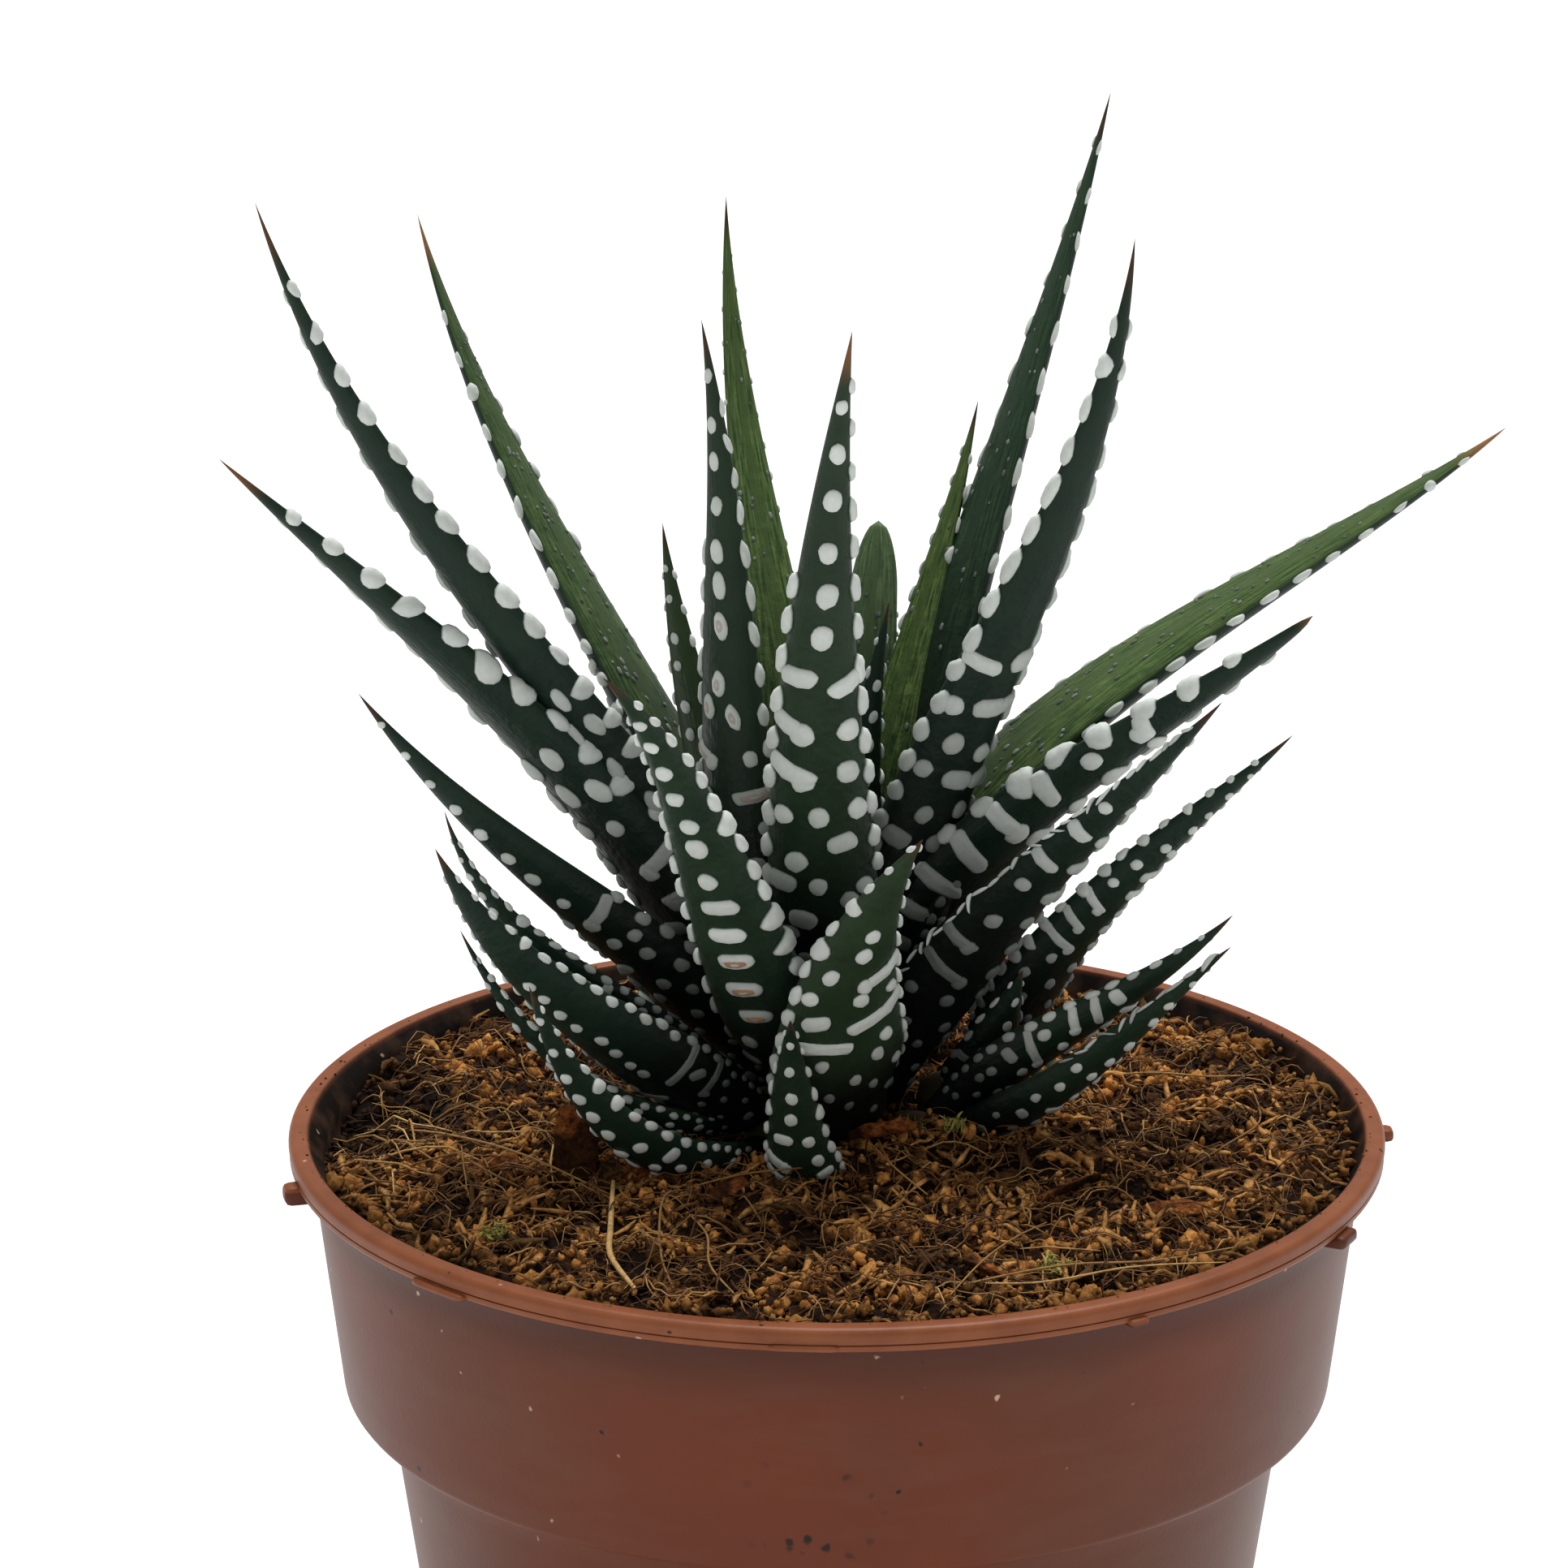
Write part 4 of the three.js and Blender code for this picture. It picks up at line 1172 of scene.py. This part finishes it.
LEAF_LOOKS = dict(
    main_leaf_04=dict(
        size=0.7, keel=0.75, bands=(0.25, 0.8), banded=0.8, lean=-1, crest=0.2, turned=-8, dim=0.8),
    main_leaf_05=dict(
        size=0.62, pitch=2.9, edges=(0.5, 0.5), keel=0.94, long=1.15, bands=(0.3, 0.5), banded=0.5, dim=0.75),
    main_leaf_10=dict(
        size=0.82, pitch=3.0, crowd=-0.35, long=1.15, keel=0.88, bands=(0.26, 0.5), banded=1, lean=0,
        ring=0.44, dim=0.4, fresh=0.3),
    main_leaf_11=dict(size=0.86, pitch=4.1, long=1.6, keel=0.5, bands=(0.24, 0.44), turned=8, dry=0.5),
    main_leaf_12=dict(
        size=0.9, pitch=4.2, edges=(0.88, 0.88), keel=0.7, bands=(0.14, 0.74), banded=0.9, lean=-1, turned=-8,
        dry=1, blunt=0.035),
    main_leaf_15=dict(
        size=0.64, pitch=3.1, edges=(0.95, 0.95), keel=0.72, bands=(0.1, 0.3), green=0.8, dry=1, bumps=1.6),
    main_leaf_16=dict(size=0.68, pitch=4.0, long=1.9, keel=0.45, bands=(0.1, 0.25), turned=10, dry=0.3),
    main_leaf_17=dict(
        size=0.9, pitch=4.0, crowd=0.5, long=1.35, edges=(0.7, 0.96), keel=0.92, bands=(0.4, 0.57), banded=1,
        lean=-1, dry=0.6, fresh=0.4, dim=0.36),
    main_leaf_18=dict(size=0.6, pitch=3.5, edges=(0.88, 0.9), long=1.5, green=0.6, dry=1, bumps=1.6),
    main_leaf_19=dict(size=0.86, long=1.7, keel=0.5, bands=(0.36, 0.64), banded=0.7),
    # Painted shade: its inner face is given little green, which paints it dark for the shade it stands in at
    # the back.
    main_leaf_20=dict(size=0.55, pitch=4.0, long=2.0, edges=(0.95, 0.95), keel=0.2, green=0.15),
    main_leaf_21=dict(
        size=0.62, pitch=3.3, long=1.8, edges=(0.7, 0.9), keel=0.92, bands=(0.34, 0.47), banded=1, lean=-1,
        ring=0.6, scar=0.4, fresh=0.35),
    main_leaf_22=dict(size=0.24, pitch=3.0, keel=0.1, green=0.85, bumps=0.4),
    main_leaf_23=dict(size=0.55, pitch=2.6, keel=0.5, green=1, bumps=0.4),
    main_leaf_24=dict(size=0.2, pitch=1.6, edges=(0.5, 0.5), keel=0.1, green=1, pale=0.9, blunt=0.09),
    main_leaf_25=dict(size=0.5, pitch=2.7, long=1.2, keel=0.92, banded=0, fresh=0.9, dim=0.3),
    main_leaf_26=dict(size=0.46, pitch=2.5, keel=0.8, banded=0),
    front_leaf_01=dict(size=0.5, pitch=2.3, long=1.2, keel=0.86, banded=0.25, dim=0.08, fresh=0.3),
    front_leaf_03=dict(
        size=0.68, pitch=2.5, long=1.1, edges=(0.97, 0.97), keel=0.7, bands=(0.12, 0.62), banded=0.7,
        fresh=0.55, dim=0.3),
    left_leaf_01=dict(size=0.54, pitch=2.4, long=1.15, keel=0.9, banded=0, dim=0.14),
    left_leaf_02=dict(size=0.42, pitch=1.9, keel=0.9, banded=0, dim=0.2),
    left_leaf_03=dict(
        size=0.52, pitch=2.1, long=1.15, keel=0.64, bands=(0.14, 0.27), banded=1, single=0.2, dim=0.5),
    left_leaf_04=dict(size=0.42, pitch=1.9, keel=0.9, banded=0, dim=0.6),
    right_leaf_01=dict(
        size=0.46, pitch=2.3, long=1.2, keel=0.86, bands=(0.2, 0.5), banded=0.35, lean=-1, crest=0.42,
        turned=-8, dim=0.4, fresh=0.25),
    right_leaf_02=dict(
        size=0.5, pitch=2.1, long=1.2, keel=0.62, bands=(0.2, 0.66), banded=0.4, lean=-1, dim=0.45,
        fresh=0.25),
    side_leaf_01=dict(
        size=0.48, pitch=2.3, long=1.2, keel=0.9, bands=(0.2, 0.72), banded=0.45, lean=-1, turned=-10),
    side_leaf_02=dict(size=0.42, pitch=2.1, keel=0.8, bands=(0.2, 0.5), dim=0.9),
    back_leaf_01=BACK_LOOKS, back_leaf_02=BACK_LOOKS, back_leaf_03=BACK_LOOKS,
)

LINE_POINTS = ("Root", "Leave", "Arrive", "Tip", "Sideways")
LEAF_SIZES = ("Roll", "Width", "Depth")
# Dim is painted shade at the foot of the clump.
TINTS = ("Green", "Dry", "Fresh", "Pale", "Dim")


def times(value, *others):
    """The product of a socket and other numbers."""
    for other in others:
        value = calc("MULTIPLY", value, other)
    return value


def plus(first, second):
    """The sum of two numbers."""
    return calc("ADD", first, second)


def less(first, second, clamp=False):
    """The first number less the second."""
    return calc("SUBTRACT", first, second, clamp=clamp)


def weighted(*pairs):
    """The sum of vectors, each times its weight."""
    terms = [scaled(vector, weight) for vector, weight in pairs]
    total = terms[0]
    for term in terms[1:]:
        total = aim("ADD", total, term)
    return total


def section_nodes(given, along, angle):
    """Half the width and half the thickness of a leaf's section, where the angle points."""
    past_belly = calc("MAXIMUM", less(along, BELLY), 0.0)
    fade = calc("POWER", calc("DIVIDE", past_belly, 1 - BELLY), TAPER_POWER)
    share = times(ramped(along, 0.0, BELLY, ROOT_SHARE, 1.0, smooth=True), less(1.0, fade, clamp=True))
    on_back = calc("GREATER_THAN", calc("COSINE", angle), 0.0)
    bulge = calc("MULTIPLY_ADD", on_back, BACK_SHARE - FACE_SHARE, FACE_SHARE)
    return times(given["Width"], 0.5, share), times(given["Depth"], calc("POWER", share, THIN_POWER), bulge)


def leaf_surface_group():
    """Geometry nodes that give a place on a leaf's skin, or at a lift over it, from its part of the
    length and its angle round the section. The two steps move along the skin, in metres."""
    tree, given = new_tree(
        "leaf_surface", "GeometryNodeTree", ("Position", "Vector"), Vector=LINE_POINTS,
        Float=("Along", "Angle", "Step across", "Step along", "Lift", "Fullness", *LEAF_SIZES),
    )
    line = [given[name] for name in LINE_POINTS[:4]]
    parts = [aim("SUBTRACT", end, start) for start, end in zip(line, line[1:])]

    def tangent_at(along):
        rest = less(1.0, along)
        return weighted(*zip(parts, (times(rest, rest), times(rest, along, 2.0), times(along, along))))

    # The steps, turned into a change of angle and of the part of the length.
    speed = aim("LENGTH", tangent_at(given["Along"]), output=1)
    half_width, half_depth = section_nodes(given, given["Along"], given["Angle"])
    across_rate = calc("ABSOLUTE", times(half_width, calc("COSINE", given["Angle"])))
    inward_rate = calc("ABSOLUTE", times(half_depth, calc("SINE", given["Angle"])))
    squares = plus(calc("POWER", across_rate, 2.0), calc("POWER", inward_rate, 2.0))
    rate = calc("MAXIMUM", calc("SQRT", squares), 0.0002)
    angle = plus(given["Angle"], calc("DIVIDE", given["Step across"], rate))
    forward = calc("DIVIDE", given["Step along"], times(speed, 3.0))
    along = calc("MAXIMUM", calc("MINIMUM", plus(given["Along"], forward), 0.999), given["Along"])
    along = calc("MAXIMUM", plus(along, calc("MINIMUM", forward, 0.0)), 0.0)

    # The centre line and its three directions there.
    rest = less(1.0, along)
    middle = weighted(*zip(line, (
        times(rest, rest, rest), times(rest, rest, along, 3.0), times(along, along, rest, 3.0),
        times(along, along, along),
    )))
    tangent = aim("NORMALIZE", tangent_at(along))
    flat_inward = aim("NORMALIZE", aim("CROSS_PRODUCT", tangent, given["Sideways"]))
    flat_across = aim("CROSS_PRODUCT", flat_inward, tangent)
    cosine, sine = calc("COSINE", given["Roll"]), calc("SINE", given["Roll"])
    inward = weighted((flat_inward, cosine), (flat_across, times(sine, -1.0)))
    across = weighted((flat_across, cosine), (flat_inward, sine))

    # The section there, and the direction in which the skin faces.
    half_width, half_depth = [times(half, given["Fullness"]) for half in section_nodes(given, along, angle)]
    aside, away = calc("SINE", angle), times(calc("COSINE", angle), -1.0)
    outward = weighted((across, times(half_depth, aside)), (inward, times(half_width, away)))
    place = aim("ADD", middle, weighted(
        (across, times(half_width, aside)), (inward, times(half_depth, away)),
        (aim("NORMALIZE", outward), given["Lift"]),
    ))
    add_node(tree, "NodeGroupOutput", {"Position": place})
    return tree


def leaf_tree(surface):
    """Geometry nodes that make one leaf: a grid wrapped round its centre line as its skin, and a dome
    for each point of the piece's own mesh, wrapped onto that skin as a raised dot."""
    tree, given = new_tree(
        "leaf", "GeometryNodeTree", ("Geometry", "Geometry"), Geometry=["Geometry"], Vector=LINE_POINTS,
        Float=(*LEAF_SIZES, "Kept", "Blunt", *TINTS), Int=("Rows", "Sides"), Object=["Dome"],
        Material=("Skin", "Dots"),
    )

    def wrapped(geometry, **where):
        places = {name.replace("_", " "): value for name, value in where.items()}
        line = {name: given[name] for name in (*LINE_POINTS, *LEAF_SIZES)}
        place = made(tree, "GeometryNodeGroup", {**places, **line}, node_tree=surface)
        return made(tree, "GeometryNodeSetPosition", {"Geometry": geometry, "Position": place})

    def named(name):
        return made(tree, "GeometryNodeInputNamedAttribute", {"Name": name}, data_type="FLOAT")

    # The skin. The grid's first row closes the root, and the last ones round a blunt end.
    grid = made(tree, "GeometryNodeMeshGrid", {
        "Size X": 1.0, "Size Y": 1.0, "Vertices X": given["Rows"], "Vertices Y": given["Sides"],
    })
    spot = made(tree, "GeometryNodeInputPosition")
    grid_place = add_node(tree, "ShaderNodeSeparateXYZ", {0: spot}).outputs
    first_row = less(calc("DIVIDE", 1.0, given["Rows"]), 0.5)
    along = ramped(grid_place[0], first_row, 0.5, 0.0, given["Kept"])
    angle = times(grid_place[1], 2 * math.pi)
    before_end = less(along, less(given["Kept"], given["Blunt"]))
    end_share = calc("DIVIDE", before_end, given["Blunt"], clamp=True)
    rounding = calc("SQRT", less(1.0, calc("POWER", end_share, 2.0), clamp=True))
    fullness = times(calc("GREATER_THAN", grid_place[0], -0.4999), rounding)
    skin = kept_as(grid, "along", along)
    skin = kept_as(skin, "face", calc("COSINE", angle))
    skin = kept_as(skin, "girth", times(angle, given["Width"], 0.35))
    for name in TINTS:
        skin = kept_as(skin, name.lower(), given[name])
    skin = wrapped(skin, Along=along, Angle=angle, Fullness=fullness)
    skin = made(tree, "GeometryNodeMergeByDistance", {"Geometry": skin, "Distance": 0.000002})

    # The dots. Each dome is a unit one at the origin until the attributes of its point place it.
    dome_shape = add_node(tree, "GeometryNodeObjectInfo", {"Object": given["Dome"]}).outputs["Geometry"]
    dots = made(tree, "GeometryNodeInstanceOnPoints", {"Points": given["Geometry"], "Instance": dome_shape})
    dots = made(tree, "GeometryNodeRealizeInstances", {0: dots})
    unit = add_node(tree, "ShaderNodeSeparateXYZ", {0: spot}).outputs
    dots = kept_as(dots, "rise", unit[2])
    shuffle = made(tree, "ShaderNodeCombineXYZ", {0: unit[0], 1: unit[1], 2: times(named("along"), 90.0)})
    lumps = add_node(tree, "ShaderNodeTexNoise", {"Vector": shuffle, "Scale": 1.1, "Detail": 1.0})
    uneven = scaled(aim("SUBTRACT", lumps.outputs["Color"], (0.5, 0.5, 0.5)), UNEVEN)
    unit = add_node(tree, "ShaderNodeSeparateXYZ", {0: aim("ADD", spot, uneven)}).outputs
    side = calc("MAXIMUM", calc("MINIMUM", times(unit[0], 3.0), 1.0), -1.0)
    long_x = plus(times(unit[0], named("half_across")), times(side, named("stretch")))
    long_y = plus(times(unit[1], named("half_along")), times(unit[0], unit[0], named("bend")))
    cosine, sine = calc("COSINE", named("turn")), calc("SINE", named("turn"))
    dots = wrapped(
        dots, Along=named("along"), Angle=named("angle"), Lift=times(unit[2], named("height")), Fullness=1.0,
        Step_across=less(times(long_x, cosine), times(long_y, sine)),
        Step_along=plus(times(long_x, sine), times(long_y, cosine)),
    )
    dots = kept_as(dots, "is_dot", 1.0)

    both = add_node(tree, "GeometryNodeJoinGeometry")
    for geometry in (dots, skin):
        tree.links.new(geometry, both.inputs[0])
    leaf = made(tree, "GeometryNodeSetMaterial", {
        "Geometry": dressed(both.outputs[0], given["Skin"]),
        "Selection": calc("GREATER_THAN", named("is_dot"), 0.5), "Material": given["Dots"],
    })
    add_node(tree, "NodeGroupOutput", {"Geometry": leaf})
    return tree


def leaf_line(rosette, row):
    """The four points of a leaf's centre line and the level direction across it, in metres."""
    root, azimuth, rise, reach, top, ends, sway = row[:7]
    turn = math.radians(azimuth)
    outward = Vector((math.cos(turn), math.sin(turn), 0))
    sideways = Vector((-outward.y, outward.x, 0))
    centre = Vector((rosette["x"], rosette["y"], 0)) * MM
    start = centre + outward * rosette["radius"] * MM + Vector((0, 0, GROUND + root * MM))
    tip = centre + outward * reach * MM + Vector((0, 0, GROUND + top * MM))
    handle = HANDLE * (tip - start).length

    def sloped(slope):
        angle = math.radians(slope)
        return outward * math.cos(angle) + Vector((0, 0, math.sin(angle)))

    leave = start + sloped(rise) * handle + sideways * sway * MM
    arrive = tip - sloped(ends) * handle + sideways * sway * MM
    return start, leave, arrive, tip, sideways


def smooth_step(value, low, high):
    """0 below low, 1 above high and smooth in between."""
    share = min(max((value - low) / (high - low), 0), 1)
    return share * share * (3 - 2 * share)


def outline(along):
    """The width of a leaf at a part of its length, as a part of its greatest width."""
    swell = ROOT_SHARE + (1 - ROOT_SHARE) * smooth_step(along, 0, BELLY)
    fade = max(0, (along - BELLY) / (1 - BELLY))
    return swell * (1 - fade ** TAPER_POWER)


def dot(along, angle, half_across, half_along, height, stretch=0, bend=0, turn=0, tone=1, scar=0):
    """One raised dot: its place on the skin, its size in mm, and its look."""
    return {
        "along": along, "angle": angle, "half_across": half_across * MM, "half_along": half_along * MM,
        "height": height * MM, "stretch": stretch * MM, "bend": bend * MM, "turn": turn,
        "tone": tone, "scar": scar,
    }


QUARTER = math.radians(90)  # the way round a leaf's outer face from the keel to a margin


def dot_scale(looks, along):
    """The half width of a dot at a part of a leaf's length: smaller towards the root and the tip."""
    near_root = 1 - smooth_step(along, 0.04, 0.36)
    near_tip = smooth_step(along, 0.6, 1)
    return looks["size"] * (1 - 0.4 * near_root) * (1 - 0.5 * near_tip)


def dot_tone(looks, along, chance):
    """How white a dot is: the lowest ones are painted dull, as painted shade at the foot of the clump."""
    lit = smooth_step(along, looks["dim"] * 0.3, looks["dim"] * 1.1)
    return chance.uniform(0.84, 1) * (0.12 + 0.88 * lit)


def row_pitch(looks, along):
    """The distance to the next row, in mm: the lower rows stand closer."""
    return looks["pitch"] * (1 - looks["crowd"] * (1 - smooth_step(along, 0.1, 0.5)))


def half_girth(leaf, along):
    """The way over the outer face from the keel to a margin, in mm."""
    share = outline(along)
    half_width, half_depth = leaf["width"] / 2 * share, leaf["depth"] * share ** THIN_POWER * BACK_SHARE
    return math.pi / 2 * math.sqrt((half_width ** 2 + half_depth ** 2) / 2)


def band(along, side, reach, size, length, looks, chance):
    """Dots run together into a thick band from a margin towards the keel, with a rounder lower end
    there. A band to no side is an oval on the keel."""
    tone = dot_tone(looks, along, chance)
    thick = size * chance.uniform(0.82, 1.0)
    if not side:
        angle = chance.gauss(0, 0.04)
        return [dot(along, angle, size * 1.1, size * 0.95, size * 0.5, stretch=size * 0.75, tone=tone)]
    half_length = reach * chance.uniform(0.38, 0.54)
    stretch = max(0.3, half_length - thick)
    middle = QUARTER * side * (0.94 - half_length / reach)
    lean = chance.uniform(0.05, 0.45)
    made_dots = [dot(
        along, middle, thick, thick * 0.95, size * 0.5, stretch=stretch,
        bend=chance.uniform(-0.1, 0.4) * size, turn=side * lean, tone=tone,
    )]
    if chance.random() < 0.7:
        end = middle - QUARTER * side * stretch * math.cos(lean) / reach
        drop = (stretch * math.sin(lean) + size * chance.uniform(0.1, 0.35)) / length
        made_dots.append(dot(along - drop, end, thick * 1.1, thick * 1.25, size * 0.54, tone=tone))
    return made_dots


def scarred(whole, scar):
    """A dot with its top worn through: a brown ring and a paler core, each a little higher."""
    layers = [whole]
    for share, rise, brown in ((0.68, 1.16, scar), (0.3, 1.22, 0.2 * scar)):
        smaller = {key: whole[key] * share for key in ("half_across", "half_along", "stretch")}
        layers.append({**whole, **smaller, "scar": brown, "height": whole["height"] * rise})
    return layers


def row_angles(looks, along, reach, size, number, banded_side):
    """Where the single dots of a row stand: on the keel, beside it, or both by turns."""
    if banded_side is not None:
        return [-QUARTER * 0.46 * banded_side] if banded_side and reach > size * 2.4 else []
    if along > max(looks["bands"][1], looks["single"]):
        return [0]
    if reach > size * 3.6:
        return [-QUARTER * 0.55, 0, QUARTER * 0.55] if number % 2 else [-QUARTER * 0.28, QUARTER * 0.3]
    if reach > size * 2.3:
        return [0] if number % 2 else [-QUARTER * 0.45, QUARTER * 0.45]
    return [0]


def back_dots(leaf, looks, length, kept, chance):
    """Rows of dots on the outer face, from the tip down: one column along the keel, then bands among
    single dots, then rows of two and three by turns."""
    dots = []
    along = min(looks["keel"], kept * 0.95)
    lowest, highest = looks["bands"]
    number = 0
    while along > LOWEST_DOT:
        size = dot_scale(looks, along)
        reach = half_girth(leaf, along)
        side = None
        if lowest < along < highest and chance.random() < looks["banded"]:
            side = looks["lean"] if chance.random() < 0.75 else -looks["lean"]
            run = band(along, side, reach, size, length, looks, chance)
            dots += scarred(run[0], looks["scar"]) if along < looks["ring"] else run[:1]
            dots += run[1:]
        tall = looks["long"] if along > highest else 1.08
        for angle in row_angles(looks, along, reach, size, number, side):
            here = along + chance.gauss(0, 0.09 * looks["pitch"]) / length
            wide = size * chance.uniform(0.88, 1.05)
            merged = along < highest and chance.random() < 0.2
            single = dot(
                here, angle + chance.gauss(0, 0.05), wide, wide * tall * chance.uniform(0.92, 1.1),
                size * 0.5, stretch=size * chance.uniform(0.4, 0.8) if merged else 0,
                turn=chance.gauss(0, 0.16), tone=dot_tone(looks, along, chance),
            )
            worn = highest < along < looks["ring"]
            dots += scarred(single, looks["scar"]) if worn else [single]
        along -= row_pitch(looks, along) * chance.uniform(0.92, 1.08) / length
        number += 1
    return dots


def margin_dots(looks, length, kept, chance, side):
    """The dots along one margin, which stand out as teeth: long ones near the tip."""
    dots = []
    along = min(looks["edges"][side > 0], kept * 0.97)
    along -= chance.uniform(0, 0.5) * looks["pitch"] / length
    while along > LOWEST_DOT:
        size = dot_scale(looks, along)
        upper = smooth_step(along, 0.35, 0.65)
        tall = 1.1 + (looks["long"] - 1) * upper
        angle = side * math.radians(chance.gauss(81 + 5 * upper, 4)) + math.radians(looks["turned"])
        dots.append(dot(
            along, angle, size * (0.8 - 0.22 * upper), size * tall * chance.uniform(0.9, 1.12), size * 0.7,
            turn=chance.gauss(0, 0.1), tone=dot_tone(looks, along, chance),
        ))
        along -= 0.9 * row_pitch(looks, along) * chance.uniform(0.88, 1.12) / length
    return dots


def crest_dots(looks, length, chance):
    """A thin pale wavy crest along the right margin: thin low ridges, some of them end to end."""
    dots = []
    along = 0.93
    while along > looks["crest"]:
        dots.append(dot(
            along, -math.radians(chance.gauss(84, 2)), chance.uniform(0.08, 0.13),
            chance.uniform(0.5, 1.0), 0.32, turn=chance.gauss(0, 0.34), tone=chance.uniform(0.55, 1),
        ))
        along -= chance.uniform(0.9, 1.7) / length
    return dots


def face_bumps(looks, length, kept, chance):
    """Small green bumps in rows on the inner face."""
    dots = []
    for number in range(round(looks["bumps"] * length)):
        along = chance.uniform(0.12, 0.86 * kept)
        angle = math.pi + math.radians(chance.choice(BUMP_ROWS) + chance.gauss(0, 5))
        size = chance.uniform(0.13, 0.24) * outline(along) ** 0.5
        dots.append(dot(
            along, angle, size, size * chance.uniform(1, 1.9), size * 0.7, tone=chance.uniform(0.1, 0.34),
        ))
    return dots


def dots_mesh(name, dots):
    """Loose points that hold each dot's numbers, for the geometry nodes to read."""
    mesh = new_mesh(name, [(0, 0, 0)] * len(dots))
    for key in dots[0]:
        mesh.attributes.new(key, "FLOAT", "POINT").data.foreach_set("value", [each[key] for each in dots])
    return mesh


def skin_material():
    """Satin leaf skin: near black green outside, fresher green inside, drier at the tip, with painted shade
    near the root.
    """
    material, shader = new_material("leaf_skin", roughness=0.48, specular=0.16)
    tree = material.node_tree
    place = object_place(tree)
    along, green, dim = stored(tree, "along"), stored(tree, "green"), stored(tree, "dim")
    patches = noise_at(place, 260, 4)
    line_place = made(tree, "ShaderNodeCombineXYZ", {
        0: times(stored(tree, "girth"), 3600.0), 1: times(along, 22.0),
    })
    lines = noise_at(line_place, 1, 3)
    outer = blend_colours(patches, paint(11, 27, 23), paint(24, 46, 36))
    fresher = blend_colours(patches, paint(34, 50, 30), paint(62, 80, 50))
    outer = blend_colours(stored(tree, "fresh"), outer, fresher)
    lined = ramped(lines, 0.38, 0.66)
    inner_dark = blend_colours(green, paint(22, 44, 36), paint(54, 78, 40))
    inner_light = blend_colours(green, paint(38, 64, 48), paint(104, 126, 68))
    inside = ramped(stored(tree, "face"), 0.15, -0.35, smooth=True)
    colour = blend_colours(inside, outer, blend_colours(lined, inner_dark, inner_light))
    greyer = blend_colours(lined, paint(74, 98, 66), paint(112, 134, 94))
    colour = blend_colours(stored(tree, "pale"), colour, greyer)
    # Painted shade: below its dim part the skin is painted near black, for the shade at the foot of the
    # clump.
    low = ramped(along, times(dim, 1.1), times(dim, 0.3), smooth=True)
    colour = blend_colours(low, colour, paint(5, 10, 10))
    tip_colour = blend_colours(stored(tree, "dry"), paint(34, 26, 22), paint(150, 104, 62))
    colour = blend_colours(ramped(along, 0.93, 0.98, smooth=True), colour, tip_colour)
    relief = plus(times(lines, 0.5), noise_at(place, 1300, 2))
    dress(shader, colour, relief, 0.45, 0.0003, rough=ramped(patches, 0, 1, 0.36, 0.56))
    return material


def dot_material():
    """Raised dots: matte, slightly uneven white, painted darker low on the leaf as painted shade, greener
    round the foot, brown where scarred.
    """
    material, shader = new_material("leaf_dots", roughness=0.6, specular=0.25)
    tree = material.node_tree
    tone = stored(tree, "tone")
    grain = noise_at(object_place(tree), 2200, 4)
    chalk = blend_colours(grain, paint(198, 204, 198), paint(222, 226, 220))
    top_colour = blend_colours(tone, paint(24, 36, 30), chalk)
    foot_colour = blend_colours(tone, paint(12, 22, 18), paint(78, 98, 80))
    colour = blend_colours(ramped(stored(tree, "rise"), 0.0, 0.35, smooth=True), foot_colour, top_colour)
    colour = blend_colours(stored(tree, "scar"), colour, paint(146, 96, 46))
    dress(shader, colour, grain, 0.3, 0.0001, rough=ramped(grain, 0, 1, 0.5, 0.7))
    return material


# A low dome of radius 1 with a soft foot, closed underneath so that it sits in the skin.
dome_rings = [(0, 1), (0.5, 0.93), (0.82, 0.66), (1.0, 0.1), (0.94, -0.9), (0, -0.9)]
dome = add_piece("dome", ring_mesh("dome", dome_rings, DOT_SIDES, downward=True, turn=0.5))
leaf_maker = leaf_tree(leaf_surface_group())
skin_finish = skin_material()
dot_finish = dot_material()
for place, rosette in ROSETTES.items():
    for number, row in enumerate(rosette["leaves"], start=1):
        node = f"{place}_leaf_{number:02d}"
        looks = {**USUAL, **LEAF_LOOKS.get(node, {})}
        chance = random.Random(f"dots of {node}")
        line = leaf_line(rosette, row)
        leaf = {"width": row[8], "depth": row[9]}
        start, leave, arrive, tip = line[:4]
        length = ((leave - start).length + (arrive - leave).length + (tip - arrive).length
                  + (tip - start).length) / 2 / MM
        kept = row[10] if len(row) > 10 else 1
        dots = back_dots(leaf, looks, length, kept, chance)
        if looks["crest"]:
            dots += crest_dots(looks, length, chance)
        else:
            dots += margin_dots(looks, length, kept, chance, -1)
        dots += margin_dots(looks, length, kept, chance, 1)
        dots += face_bumps(looks, length, kept, chance)
        piece = add_piece(f"{node}_flesh", dots_mesh(node, dots))
        grow(piece, leaf_maker, {
            **dict(zip(LINE_POINTS, line)),
            "Roll": math.radians(row[7]), "Width": leaf["width"] * MM, "Depth": leaf["depth"] * MM,
            "Kept": kept, "Rows": LEAF_ROWS, "Sides": LEAF_SIDES + 1,
            "Dome": dome, "Skin": skin_finish, "Dots": dot_finish,
            **{name: float(looks[name.lower()]) for name in ("Blunt", *TINTS)},
        })
        settle(baked(piece), "leaf_flesh", node)
bpy.data.objects.remove(dome)
